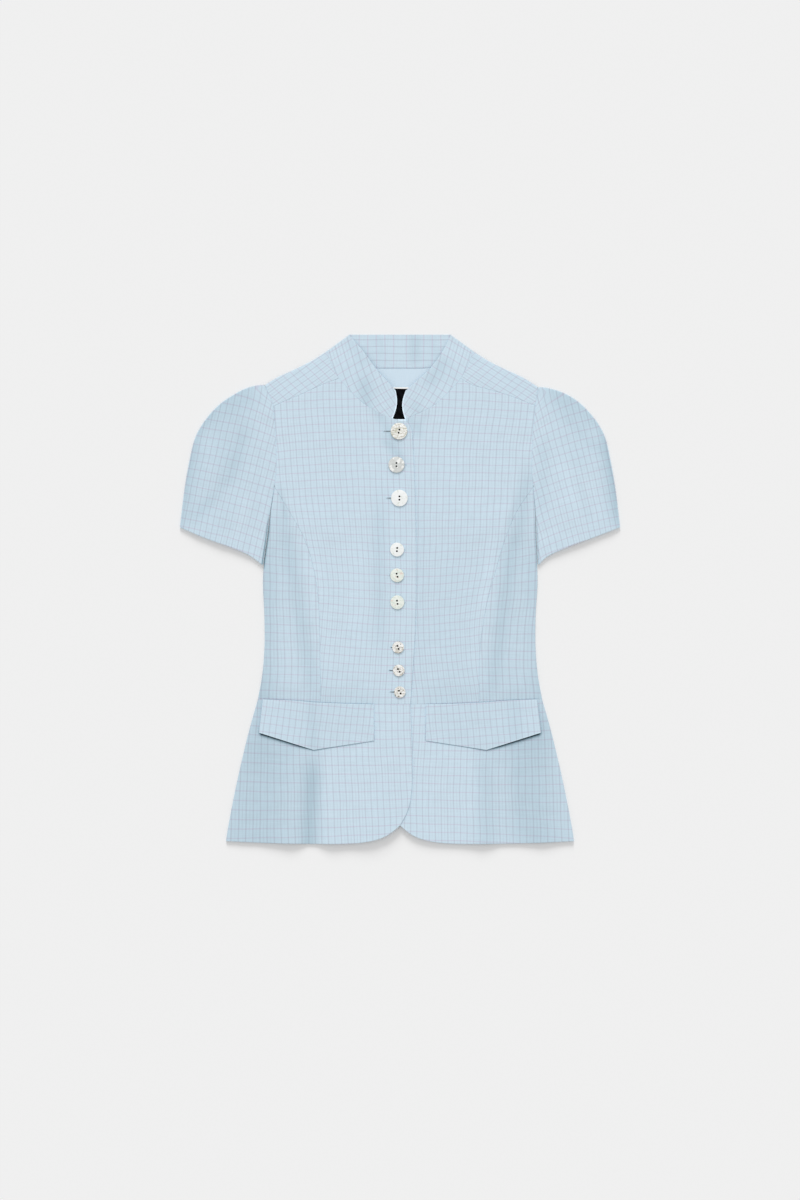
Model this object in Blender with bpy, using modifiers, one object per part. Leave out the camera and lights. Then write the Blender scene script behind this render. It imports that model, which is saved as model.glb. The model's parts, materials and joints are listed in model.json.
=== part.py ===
"""A short-sleeved peplum top, laid flat on its back on the plane Z = 0.

Up on the garment is +Y, and the wearer's right side is at -X. Each piece that a maker cuts is a wall of
cloth of its own, 0.3 mm from its neighbours along the seams. The back pieces lie flat on the ground. The
front pieces lie on them, and a height function gives their low crown, their folds and the lap of the right
front over the left one. Plan tables hold two columns in millimetres: how far a point lies out from the centre
front, and how far up from the middle of the garment.
"""

import math

import bpy
import numpy as np

MM = 0.001
GARMENT = "peplum_top"
CUTTERS = "cutters"

# Walls and gaps, in metres
WALL = 1.2 * MM
LINING_WALL = 1.0 * MM
LABEL_WALL = 1.0 * MM
SEAM_GAP = 0.3 * MM
LAYER_GAP = 0.3 * MM
FLAP_GAP = 0.5 * MM
FLAP_STANDOFF = 2.2 * MM
CROWN = 2.7 * MM
SHOULDER_FADE = 30 * MM

# Buttons: three sizes down the front, each with a raised rim and two holes one above the other
BUTTON_THICK = 2.6 * MM
BUTTON_HOLE = 1.9 * MM
BUTTON_HOLE_PITCH = 0.24
BUTTON_SIDES = 24
BUTTON_PROFILE = ((0, 0.9), (0.7, 0.88), (0.86, 1), (1, 0.6), (1, 0.3), (0.86, 0), (0, 0))  # out, up, as shares
BUTTONS = (  # across, up, diameter
    (-1.3, 204.7, 21.6),
    (-4.6, 161.2, 21.0),
    (-0.8, 117.9, 21.6),
    (-3.8, 51.1, 18.0),
    (-3.8, 17.8, 17.8),
    (-3.5, -17.3, 18.0),
    (-2.5, -75.8, 15.4),
    (-1.6, -105.7, 15.2),
    (-0.3, -133.8, 15.0),
)

# Grid counts of the seams that two or more pieces share
STUB_COLUMNS = 1
NECK_COLUMNS = 6
YOKE_COLUMNS = 6
SIDE_COLUMNS = 4
YOKE_ROWS = 3
ARMHOLE_ROWS = 5
PRINCESS_ROWS = 13
PEPLUM_ROWS = 10
FLAP_ROWS = 3
FLAP_HALF_COLUMNS = 5
SLEEVE_COLUMNS = 7
UNDERARM_ROWS = 6
FOLD_STEPS = 4
COLLAR_ROWS = 3
BACK_NECK_STEPS = 8

# Outlines that both sides share: out, up
NECK_OF_YOKE = ((95, 309), (88, 290), (79, 273))
NECK_OF_FRONT = ((79, 273), (65, 257.5), (50, 243), (36, 233.5), (22, 227), (7, 220.5))
FRONT_CORNER = (-7, 220)
SHOULDER = ((95, 309), (114.5, 296.5), (136.5, 285.5), (160, 274.5))
FRONT_EDGE = ((-7, 220), (-14.5, 208), (-16.5, 187), (-20, 100), (-20, -40), (-17.5, -90), (-13.5, -149.5))
WAIST = ((-13.5, -149.5), (39, -149.5), (103, -147.5), (143, -144.5), (184.5, -143))
PEPLUM_EDGE = ((-13.5, -149.5), (-16, -235), (-15, -261), (-12.5, -279.5), (-8, -292.5), (0, -307))
PEPLUM_SIDE = ((184.5, -143), (196.5, -186), (212, -252), (223.5, -311), (226, -327.5))
HEM = ((0, -307), (8, -314), (17.5, -320.5), (30, -325.5), (47, -329), (68, -330.8), (113, -331),
       (169, -330), (226, -327.5))
BACK_NECK = ((0, 286.5), (39, 287.5), (62, 294), (80, 301.5), (95, 309))
BACK_HEM = ((0, -304.5), (60, -309), (120, -317), (180, -324), (226, -327.5))
BACK_COLLAR_TOP = ((0, 330.4), (35, 330.4), (66, 330.4))
FLAP_INNER_EDGE = ((34, -149.5), (33.5, -197))
FLAP_TIP = (112, -209)
FLAP_OUTER_EDGE = ((178, -143.2), (183, -186.5))
LINING_HALF_WIDTH = 48 * MM
LINING_LOW = 200 * MM
LABEL_HALF_WIDTH = 11.5 * MM
LABEL_RANGE = (214 * MM, 258.5 * MM)
COLLAR_END_BOW = 2.4 * MM

# Outlines that differ between the wearer's right and left side: out, up
SIDES = {
    "right": {
        "sign": -1,
        "yoke_seam": ((79, 273), (88.5, 270), (104, 264), (130, 252), (152, 243), (164, 237)),
        "armhole_of_yoke": ((175.5, 265), (170, 252), (164, 237)),
        "armhole": ((164, 237), (162.5, 213), (161, 187), (161, 152), (163, 132.5)),
        "princess": ((163, 132.5), (143, 99), (126, 69), (113, 30), (105.5, -21), (104, -86), (103, -147.5)),
        "side": ((163.5, 130), (168, 100), (171.5, 70), (177, 30), (178, 5), (176.3, -30), (176, -75),
                 (179, -112), (184.5, -143)),
        "underarm": ((163, 132.5), (170, 100), (173.5, 70), (177, 44), (178.8, 31)),
        "cap": ((175.5, 265), (186, 264.5), (202, 260), (217, 252), (232, 242), (245, 229.5), (257, 214),
                (266, 197), (273, 170), (280, 130), (286, 80.5)),
        "cuff": ((178.8, 31), (196.5, 44), (223.5, 55.5), (255, 67), (286, 80.5)),
        "collar_top": ((66, 330), (47.5, 308), (30.5, 284.7), (13.6, 265.8), (6.5, 257.5)),
    },
    "left": {
        "sign": 1,
        "yoke_seam": ((79, 273), (93.5, 265), (113, 259.5), (138, 252.5), (155.5, 246), (176, 238)),
        "armhole_of_yoke": ((179, 262.5), (178, 252), (176, 238)),
        "armhole": ((176, 238), (173.5, 213), (172, 187), (171.5, 152), (173, 132.5)),
        "princess": ((173, 132.5), (151, 99), (136, 62.5), (124, 22), (112, -23.5), (104, -79.5), (103, -147.5)),
        "side": ((173.5, 130), (175.5, 100), (176.5, 70), (178.3, 30), (178.5, 5), (176.3, -30), (176, -75),
                 (179, -112), (184.5, -143)),
        "underarm": ((173, 132.5), (177.5, 100), (178.8, 70), (180.2, 44), (180.6, 31)),
        "cap": ((179, 262.5), (190, 261.5), (207, 257), (222, 250), (235, 240.5), (246, 229.5), (258, 214),
                (266.5, 197), (273, 170), (280, 130), (286, 80.5)),
        "cuff": ((180.6, 31), (192, 42), (222, 56), (250, 66.5), (286, 80.5)),
        "collar_top": ((66, 330), (54.5, 307), (37.7, 284.7), (17.5, 267), (6.5, 257.5)),
    },
}

# How full the front lies above the back, down the garment: up, share of CROWN
FULLNESS = ((331, 1.0), (190, 1.0), (60, 0.9), (-60, 0.6), (-149, 0.45), (-240, 0.6), (-331, 0.5))

# Outer limit of the crown, down the garment: up, out
CROWN_REACH = ((331, 150), (265, 176), (187, 162), (132, 164), (5, 178), (-75, 176), (-143, 184.5),
               (-252, 212), (-331, 227))

# The largest folds of the front. Each runs from its top to its foot and fades at both ends.
# side, out and up at the top, out and up at the foot, half width, height (below 0 is a trough)
FOLDS = (
    ("right", 104, -165, 115, -345, 17, -1.5),
    ("right", 84, -170, 88, -345, 16, 1.2),
    ("right", 132, -165, 146, -345, 20, 1.5),
    ("right", 40, -220, 46, -345, 22, 0.7),
    ("left", 104, -165, 112, -345, 15, 1.6),
    ("left", 132, -170, 140, -345, 22, -1.4),
    ("left", 165, -175, 188, -345, 18, 1.2),
    ("left", 60, -215, 66, -345, 22, -0.6),
    ("left", 44, 238, 12, 184, 8, -0.9),
    ("left", 136, 95, 128, -20, 16, -0.9),
    ("right", 124, 90, 106, -20, 14, -0.5),
    ("right", 110, 130, 92, 40, 34, 1.2),
    ("left", 116, 130, 96, 40, 34, 1.2),
    ("right", 168, 20, 160, -130, 12, -0.8),
    ("left", 168, 20, 160, -130, 12, -0.8),
)

# Where a collar or a sleeve folds over, the middle of its wall turns round this radius
FOLD_RADIUS = (WALL + LAYER_GAP) / 2

# Middle of a folded piece's lower layer. Its wall swells a little at the turns, so it lies this much higher.
LOW_LAYER = WALL / 2 + 0.03 * MM

# Sleeves: crown of the upper layer over the lower one, the blunt tip at the shoulder, and the folds
SLEEVE_CROWN = 2.7 * MM
SLEEVE_TIP = 2.5 * MM
SLEEVE_FOLDS = (
    ("right", 198, 190, 246, 84, 14, -1.1),
    ("right", 226, 222, 262, 84, 18, 0.7),
    ("right", 184, 160, 204, 52, 12, 0.6),
    ("left", 196, 205, 214, 60, 13, -0.8),
    ("left", 222, 226, 258, 84, 18, 0.7),
    ("left", 236, 190, 244, 70, 10, -0.5),
)

# The right front lies over the left one as far out as LAP_FULL, and comes down again by LAP_END
LAP_FULL = 27 * MM
LAP_END = 70 * MM


def millimetres(rows):
    """A table's rows as points in metres."""
    return np.array(rows, float) * MM


def along(rows, count):
    """A smooth curve through a table's rows, as count + 1 evenly spaced points."""
    knots = millimetres(rows)
    if len(knots) > 2:
        before = 2 * knots[0] - knots[1]
        after = 2 * knots[-1] - knots[-2]
        padded = np.vstack([before, knots, after])
        fine = []
        for i in range(len(knots) - 1):
            fine.append(centripetal(padded[i : i + 4], np.linspace(0, 1, 24, endpoint=False)))
        knots = np.vstack([*fine, knots[-1:]])
    length = np.concatenate([[0], np.cumsum(np.linalg.norm(np.diff(knots, axis=0), axis=1))])
    wanted = np.linspace(0, length[-1], count + 1)
    return np.column_stack([np.interp(wanted, length, knots[:, k]) for k in (0, 1)])


def centripetal(four, parts):
    """The centripetal Catmull-Rom curve between the middle two of four points."""
    time = np.concatenate([[0], np.cumsum(np.sqrt(np.linalg.norm(np.diff(four, axis=0), axis=1)))])
    at = (time[1] + parts * (time[2] - time[1]))[:, None]

    def blend(low, high, start, end):
        return (low * (end - at) + high * (at - start)) / (end - start)

    first = [blend(four[i], four[i + 1], time[i], time[i + 1]) for i in range(3)]
    second = [blend(first[i], first[i + 1], time[i], time[i + 2]) for i in range(2)]
    return blend(second[0], second[1], time[1], time[2])


def chain(*runs):
    """Runs of points joined end to end, each shared end kept once."""
    return np.vstack([runs[0]] + [run[1:] for run in runs[1:]])


def patch(top, foot, inner, outer):
    """The Coons grid between four edges: rows go down the garment, columns go out."""
    down = np.linspace(0, 1, len(inner))[:, None, None]
    out = np.linspace(0, 1, len(top))[None, :, None]
    ruled_down = (1 - down) * top[None] + down * foot[None]
    ruled_out = (1 - out) * inner[:, None] + out * outer[:, None]
    corners = (1 - down) * ((1 - out) * top[0] + out * top[-1]) + down * ((1 - out) * foot[0] + out * foot[-1])
    return ruled_down + ruled_out - corners


def inward(edge, towards):
    """Unit normals of an edge's points, on the side where the next line of the grid lies."""
    run = np.gradient(edge, axis=0)
    normal = np.column_stack([-run[:, 1], run[:, 0]])
    normal /= np.linalg.norm(normal, axis=1)[:, None]
    facing = np.sign((normal * (towards - edge)).sum(axis=1).sum())
    return normal * facing


def seam_inset(grid):
    """The grid with its four edges drawn in by half of a seam's gap."""
    moved = grid.copy()
    half = SEAM_GAP / 2
    moved[0] += half * inward(grid[0], grid[1])
    moved[-1] += half * inward(grid[-1], grid[-2])
    moved[:, 0] += half * inward(grid[:, 0], grid[:, 1])
    moved[:, -1] += half * inward(grid[:, -1], grid[:, -2])
    return moved


def ease(value, low, high):
    """A smooth step from 0 at low to 1 at high."""
    part = np.clip((value - low) / (high - low), 0, 1)
    return part * part * (3 - 2 * part)


def from_table(table, up):
    """A two-column table read at a height on the garment, as its second column."""
    rows = np.array(sorted(table), float)
    return np.interp(up / MM, rows[:, 0], rows[:, 1])


def folds(table, side, out, up):
    """Sum of a side's soft folds: each is a bell across its run, faded towards both ends."""
    total = np.zeros_like(out)
    for row_side, top_out, top_up, foot_out, foot_up, half_width, height in table:
        if row_side != side:
            continue
        start = np.array([top_out, top_up]) * MM
        run = np.array([foot_out, foot_up]) * MM - start
        length = math.hypot(*run)
        way = run / length
        down = (out - start[0]) * way[0] + (up - start[1]) * way[1]
        across = (out - start[0]) * way[1] - (up - start[1]) * way[0]
        fade = np.sin(np.pi * np.clip(down / length, 0, 1)) ** 2
        if foot_up < -331:
            fade = ease(down, 0, 0.8 * length)
        total += height * MM * fade * np.exp(-((across / (half_width * MM)) ** 2))
    return total


def below_shoulder(out, up):
    """Distance of a point below the line of the shoulder."""
    start, end = millimetres(SHOULDER)[[0, -1]]
    way = (end - start) / np.linalg.norm(end - start)
    return (out - start[0]) * way[1] - (up - start[1]) * way[0]


def front_underside(side, out, up):
    """Height of the underside of a front piece above the ground."""
    reach = from_table(CROWN_REACH, up) * MM
    across = np.clip(1 - (out / reach) ** 2, 0, 1) ** 0.8
    crown = CROWN * from_table(FULLNESS, up) * across * ease(below_shoulder(out, up), 0, SHOULDER_FADE)
    clear = ease(reach - out, 0, 18 * MM)
    return WALL + LAYER_GAP + np.maximum(crown + clear * folds(FOLDS, side, out, up), 0)


def lapped(side, out, up):
    """Height of a front piece's underside, with the right front lifted over the left one."""
    height = front_underside(side, out, up)
    if side == "left":
        return height
    shared = np.where(out < LAP_FULL, front_underside("left", -out, up), height)
    height = np.maximum(height, shared)
    return height + (WALL + LAYER_GAP) * (1 - ease(out, LAP_FULL, LAP_END))


def principled(name, colour, roughness, metallic=0.0):
    """A plain material of one sRGB colour, given as 0 to 255."""
    material = bpy.data.materials.new(name)
    material.use_nodes = True
    shader = material.node_tree.nodes["Principled BSDF"]
    linear = [pow(part / 255, 2.2) for part in colour]
    shader.inputs["Base Color"].default_value = (*linear, 1)
    shader.inputs["Roughness"].default_value = roughness
    shader.inputs["Metallic"].default_value = metallic
    return material


def add_mesh(name, points, faces, material):
    """A new object from points and faces, in the garment's collection."""
    mesh = bpy.data.meshes.new(name)
    mesh.from_pydata([tuple(map(float, point)) for point in points], [], faces)
    mesh.materials.append(material)
    obj = bpy.data.objects.new(name, mesh)
    bpy.data.collections[GARMENT].objects.link(obj)
    mesh.shade_smooth()
    mesh.set_sharp_from_angle(angle=math.radians(40))
    return obj


def grid_faces(rows, columns, turned, closed=False):
    """Quads of a grid of points. A closed grid joins its last column to its first."""
    faces = []
    for i in range(rows - 1):
        for j in range(columns if closed else columns - 1):
            k = (j + 1) % columns
            face = (i * columns + j, (i + 1) * columns + j, (i + 1) * columns + k, i * columns + k)
            faces.append(face[::-1] if turned else face)
    return faces


def add_panel(name, side, grid, underside, material, wall=WALL):
    """A wall of cloth over a plan grid: its underside at the given heights, its thickness upwards."""
    sign = SIDES[side]["sign"]
    out, up = grid[..., 0], grid[..., 1]
    points = np.dstack([sign * out, up, underside]).reshape(-1, 3)
    obj = add_mesh(name, points, grid_faces(*out.shape, turned=sign < 0), material)
    solidify(obj, wall, offset=1)
    return obj


def solidify(obj, wall, offset):
    thick = obj.modifiers.new("wall", "SOLIDIFY")
    thick.thickness = wall
    thick.offset = offset
    thick.use_even_offset = True


def add_flat(name, outline, base, wall, material):
    """A flat piece of cloth from its outline, as a filled 2D curve of the wall's thickness."""
    curve = bpy.data.curves.new(name, "CURVE")
    curve.dimensions = "2D"
    curve.fill_mode = "BOTH"
    curve.extrude = wall / 2
    spline = curve.splines.new("POLY")
    spline.points.add(len(outline) - 1)
    for point, (across, up) in zip(spline.points, outline):
        point.co = (across, up, 0, 1)
    spline.use_cyclic_u = True
    curve.materials.append(material)
    obj = bpy.data.objects.new(name, curve)
    obj.location.z = base + wall / 2
    bpy.data.collections[GARMENT].objects.link(obj)
    return obj


def mirrored_outline(right, left):
    """A closed outline from each side's run of points, both read from the top centre to the foot centre."""
    right_run = right * (-1, 1)
    closed = np.vstack([left, right_run[::-1]])
    keep = [i for i in range(len(closed)) if np.linalg.norm(closed[i] - closed[i - 1]) > 0.01 * MM]
    return closed[keep]


def drawn_in(outline, amount):
    """A closed outline, read clockwise from the top, with each side moved inwards."""
    before = outline - np.roll(outline, 1, axis=0)
    after = np.roll(outline, -1, axis=0) - outline
    normals = []
    for run in (before, after):
        normal = np.column_stack([run[:, 1], -run[:, 0]])
        normals.append(normal / np.linalg.norm(normal, axis=1)[:, None])
    total = normals[0] + normals[1]
    corner = 1 + (normals[0] * normals[1]).sum(axis=1)
    return outline + amount * total / np.maximum(corner, 0.35)[:, None]


def seams(side):
    """Points of one side's seams, shared by the pieces on both sides of each seam."""
    rows = SIDES[side]
    waist = along(WAIST, 60)
    split = int(np.argmin(np.linalg.norm(waist - millimetres([rows["princess"][-1]]), axis=1)))
    front_columns = STUB_COLUMNS + NECK_COLUMNS + YOKE_COLUMNS
    front_part = waist[np.linspace(0, split, front_columns + 1).astype(int)]
    side_part = waist[np.linspace(split, 60, SIDE_COLUMNS + 1).astype(int)]
    princess = along(rows["princess"], PRINCESS_ROWS)
    princess[-1] = waist[split]
    return {
        "neck_of_yoke": along(NECK_OF_YOKE, YOKE_ROWS),
        "neck_of_front": along(NECK_OF_FRONT, NECK_COLUMNS),
        "stub": along((NECK_OF_FRONT[-1], FRONT_CORNER), STUB_COLUMNS),
        "yoke_seam": along(rows["yoke_seam"], YOKE_COLUMNS),
        "shoulder": along((*SHOULDER, rows["armhole_of_yoke"][0]), YOKE_COLUMNS),
        "armhole_of_yoke": along(rows["armhole_of_yoke"], YOKE_ROWS),
        "armhole": along(rows["armhole"], ARMHOLE_ROWS),
        "princess": princess,
        "side": along(rows["side"], PRINCESS_ROWS),
        "front_edge": along(FRONT_EDGE, ARMHOLE_ROWS + PRINCESS_ROWS),
        "waist_front": front_part,
        "waist_side": side_part,
    }


def add_bodice_front(side, cloth):
    """The yoke, centre front and side front of one side."""
    seam = seams(side)
    yoke = patch(seam["shoulder"], seam["yoke_seam"], seam["neck_of_yoke"], seam["armhole_of_yoke"])
    top = chain(seam["stub"][::-1], seam["neck_of_front"][::-1], seam["yoke_seam"])
    outer = chain(seam["armhole"], seam["princess"])
    front = patch(top, seam["waist_front"], seam["front_edge"], outer)
    underarm = np.linspace(seam["princess"][0], seam["side"][0], SIDE_COLUMNS + 1)
    side_front = patch(underarm, seam["waist_side"], seam["princess"], seam["side"])
    for name, grid in (("yoke", yoke), ("front", front), ("side_front", side_front)):
        grid = seam_inset(grid)
        if name == "side_front":
            grid[:, -1] = seam["side"]
        height = lapped(side, grid[..., 0], grid[..., 1])
        add_panel(f"{name}_{side}", side, grid, height, cloth)


def add_peplum_front(side, cloth):
    """The peplum front of one side and the pointed flap that lies on it."""
    seam = seams(side)
    waist = chain(seam["waist_front"], seam["waist_side"])
    columns = len(waist) - 1
    grid = patch(waist, along(HEM, columns), along(PEPLUM_EDGE, PEPLUM_ROWS), along(PEPLUM_SIDE, PEPLUM_ROWS))
    grid = seam_inset(grid)
    add_panel(f"peplum_front_{side}", side, grid, lapped(side, grid[..., 0], grid[..., 1]), cloth)

    inner = along(FLAP_INNER_EDGE, FLAP_ROWS)
    outer = along(FLAP_OUTER_EDGE, FLAP_ROWS)
    foot = chain(along((FLAP_INNER_EDGE[-1], FLAP_TIP), FLAP_HALF_COLUMNS),
                 along((FLAP_TIP, FLAP_OUTER_EDGE[-1]), FLAP_HALF_COLUMNS))
    top = np.linspace(inner[0], outer[0], 2 * FLAP_HALF_COLUMNS + 1)
    fine_waist = along(WAIST, 200)
    top[:, 1] = np.interp(top[:, 0], fine_waist[:, 0], fine_waist[:, 1])
    inner[0], outer[0] = top[0], top[-1]
    flap = seam_inset(patch(top, foot, inner, outer))
    out, up = flap[..., 0], flap[..., 1]
    drop = np.linspace(0, 1, FLAP_ROWS + 1)[:, None]
    stand = FLAP_STANDOFF * ease(out, 90 * MM, 150 * MM) * drop
    under = lapped(side, out, up) + WALL + FLAP_GAP + stand
    add_panel(f"flap_{side}", side, flap, under, cloth)


def add_back(cloth):
    """The back bodice and the peplum back, flat on the ground."""
    runs = {}
    for side in SIDES:
        seam = seams(side)
        neck = along(BACK_NECK, BACK_NECK_STEPS)
        armhole = chain(seam["armhole_of_yoke"], seam["armhole"])
        waist = chain(seam["waist_front"], seam["waist_side"])
        waist = waist[waist[:, 0] > 0]
        waist = np.vstack([[0, waist[0, 1]], waist])
        sides = chain(seam["side"])
        runs[side] = np.vstack([neck, seam["shoulder"][1:], armhole[1:], sides, waist[-2::-1]])
        hem = along(BACK_HEM, 10)
        peplum_side = along(PEPLUM_SIDE, PEPLUM_ROWS)
        runs[side + "_peplum"] = np.vstack([waist, peplum_side[1:], hem[-2::-1]])
    for name, key in (("back_bodice", ""), ("peplum_back", "_peplum")):
        outline = mirrored_outline(runs["right" + key], runs["left" + key])
        add_flat(name, drawn_in(outline, SEAM_GAP / 2), 0, WALL, cloth)


def add_neck_lining(lining, label_cloth):
    """The plain half-moon inside the back neck, and the plain label on it."""
    fine_neck = along(BACK_NECK, 60)
    across = np.linspace(-LINING_HALF_WIDTH, LINING_HALF_WIDTH, 15)
    top = np.interp(abs(across), fine_neck[:, 0], fine_neck[:, 1]) - SEAM_GAP
    turn = np.linspace(0, np.pi, 15)[1:-1]
    rim = top[-1] - 4 * MM
    low = np.column_stack([LINING_HALF_WIDTH * np.cos(turn), rim - (rim - LINING_LOW) * np.sin(turn)])
    outline = np.vstack([np.column_stack([across, top]), low])
    base = WALL + LAYER_GAP
    add_flat("back_neck_lining", outline, base, LINING_WALL, lining)
    low_up, high_up = LABEL_RANGE
    corners = [(-LABEL_HALF_WIDTH, high_up), (LABEL_HALF_WIDTH, high_up),
               (LABEL_HALF_WIDTH, low_up), (-LABEL_HALF_WIDTH, low_up)]
    add_flat("neck_label", corners, base + LINING_WALL + LAYER_GAP, LABEL_WALL, label_cloth)


def rolled(edge, neighbour, distance):
    """An edge that folds over: its points drawn back along the grid, and the unit normals out of the fold."""
    out = -inward(edge, neighbour)
    way = neighbour - edge
    return edge + way * (distance / -(way * out).sum(axis=1))[:, None], out


def fold_turns():
    """Angles of the points round a fold, between its upper and its lower layer."""
    return np.linspace(np.pi / 2, -np.pi / 2, FOLD_STEPS + 1)[1:-1]


def collar_half(side):
    """One side of the collar: middle-of-wall points from the front end round the fold to the centre back."""
    seam = seams(side)
    rows = SIDES[side]
    neck = chain(seam["neck_of_yoke"], seam["neck_of_front"])
    steps = len(neck) - 1
    top = along(rows["collar_top"], steps)
    share = np.linspace(0, 1, COLLAR_ROWS + 1)[:, None, None]
    front = (1 - share) * neck[None] + share * top[None]
    along_front = np.linspace(0, 1, steps + 1)[None, :]
    bow = COLLAR_END_BOW * np.sin(np.pi * share[..., 0]) * ease(along_front, 0.6, 1)
    front[..., 0] -= bow
    back_neck = along(BACK_NECK, BACK_NECK_STEPS)[::-1]
    back_top = along(BACK_COLLAR_TOP, BACK_NECK_STEPS)[::-1]
    back = (1 - share) * back_neck[None] + share * back_top[None]
    front[0] += SEAM_GAP / 2 * inward(front[0], front[1])
    back[0] += SEAM_GAP / 2 * inward(back[0], back[1])

    low = LOW_LAYER
    draw_in = FOLD_RADIUS + WALL / 2
    front_edge, way_out = rolled(front[:, 0], front[:, 1], draw_in)
    back_edge, way_out = rolled(back[:, 0], back[:, 1], draw_in)
    front[:, 0], back[:, 0] = front_edge, back_edge
    height = lapped(side, front[..., 0], front[..., 1]) + WALL / 2
    height[:, 0] = low + 2 * FOLD_RADIUS
    turns = fold_turns()
    part = (1 + np.sin(turns))[None, :, None] / 2
    edge = part * front_edge[:, None] + (1 - part) * back_edge[:, None]
    edge = edge + FOLD_RADIUS * np.cos(turns)[None, :, None] * way_out[:, None]
    edge_height = np.broadcast_to(low + FOLD_RADIUS * (1 + np.sin(turns)), edge.shape[:2])
    plan = np.concatenate([front[:, ::-1], edge, back], axis=1)
    heights = np.concatenate([height[:, ::-1], edge_height, np.full(back.shape[:2], low)], axis=1)
    return np.dstack([plan[..., 0] * rows["sign"], plan[..., 1], heights])


def add_collar(cloth):
    """The stand collar: one band, folded at both sides, with its back half flat on the ground."""
    right, left = collar_half("right"), collar_half("left")
    grid = np.concatenate([right, left[:, ::-1][:, 1:]], axis=1)
    rows, columns = grid.shape[:2]
    obj = add_mesh("collar", grid.reshape(-1, 3), grid_faces(rows, columns, turned=False), cloth)
    solidify(obj, WALL, offset=0)


def sleeve_plan(side):
    """The plan grid of a sleeve: rows slope from the armhole and underarm out to the edge of the cap."""
    seam = seams(side)
    rows = SIDES[side]
    armhole = chain(seam["armhole_of_yoke"], seam["armhole"])
    tip = armhole[1] - armhole[0]
    armhole[0] += SLEEVE_TIP * tip / np.linalg.norm(tip)
    inner = chain(armhole, along(rows["underarm"], UNDERARM_ROWS))
    outer = along(rows["cap"], 200)
    begin = int(np.argmax(np.linalg.norm(outer - outer[0], axis=1) > SLEEVE_TIP))
    outer = outer[np.linspace(begin, 200, len(inner)).astype(int)]
    return patch(np.linspace(inner[0], outer[0], SLEEVE_COLUMNS + 1), along(rows["cuff"], SLEEVE_COLUMNS),
                 inner, outer)


def add_sleeve(side, cloth):
    """A sleeve as a flattened tube, open along the armhole and at the cuff."""
    sign = SIDES[side]["sign"]
    plan = sleeve_plan(side)
    count, columns = plan.shape[:2]
    open_rows = YOKE_ROWS + ARMHOLE_ROWS
    draw_in = FOLD_RADIUS + WALL / 2
    inner, inner_out = rolled(plan[:, 0], plan[:, 1], draw_in + LAYER_GAP)
    outer, outer_out = rolled(plan[:, -1], plan[:, -2], draw_in)
    inner[:open_rows] = plan[:open_rows, 0] - SEAM_GAP / 2 * inner_out[:open_rows]
    plan[:, 0], plan[:, -1] = inner, outer

    low = LOW_LAYER
    share = np.linspace(0, 1, columns)[None, :]
    down = np.linspace(0, 1, count)[:, None]
    across = (4 * share * (1 - share)) ** 0.7
    dome = across * (0.25 + 0.75 * np.sin(np.pi * (0.1 + 0.8 * down)))
    relief = folds(SLEEVE_FOLDS, side, plan[..., 0], plan[..., 1]) * ease(across, 0, 0.6) * ease(down, 0, 0.2)
    upper = low + 2 * FOLD_RADIUS + SLEEVE_CROWN * dome + relief

    turns = fold_turns()
    bulge = FOLD_RADIUS * np.cos(turns)[None, :, None]
    turn_height = np.broadcast_to(low + FOLD_RADIUS * (1 + np.sin(turns)), (count, len(turns)))
    ring = np.concatenate([
        plan[:, ::-1],
        plan[:, :1] + bulge * inner_out[:, None],
        plan,
        plan[:, -1:] + bulge[:, ::-1] * outer_out[:, None],
    ], axis=1)
    flat = np.full(plan.shape[:2], low)
    heights = np.concatenate([upper[:, ::-1], turn_height, flat, turn_height[:, ::-1]], axis=1)
    around = heights.shape[1]
    points = np.dstack([ring[..., 0] * sign, ring[..., 1], heights]).reshape(-1, 3)
    faces = grid_faces(count, around, turned=sign < 0, closed=True)
    turning = set(range(columns - 1, columns + len(turns)))
    closed_rows = [face for face in faces
                   if min(face) // around >= open_rows or face_column(face, around) not in turning]
    used = sorted({corner for face in closed_rows for corner in face})
    renumber = {old: new for new, old in enumerate(used)}
    closed_rows = [tuple(renumber[corner] for corner in face) for face in closed_rows]
    obj = add_mesh(f"sleeve_{side}", points[used], closed_rows, cloth)
    solidify(obj, WALL, offset=0)


def face_column(face, around):
    """Which column of a closed grid a face starts in."""
    columns = {corner % around for corner in face}
    return around - 1 if columns == {0, around - 1} else min(columns)


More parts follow.
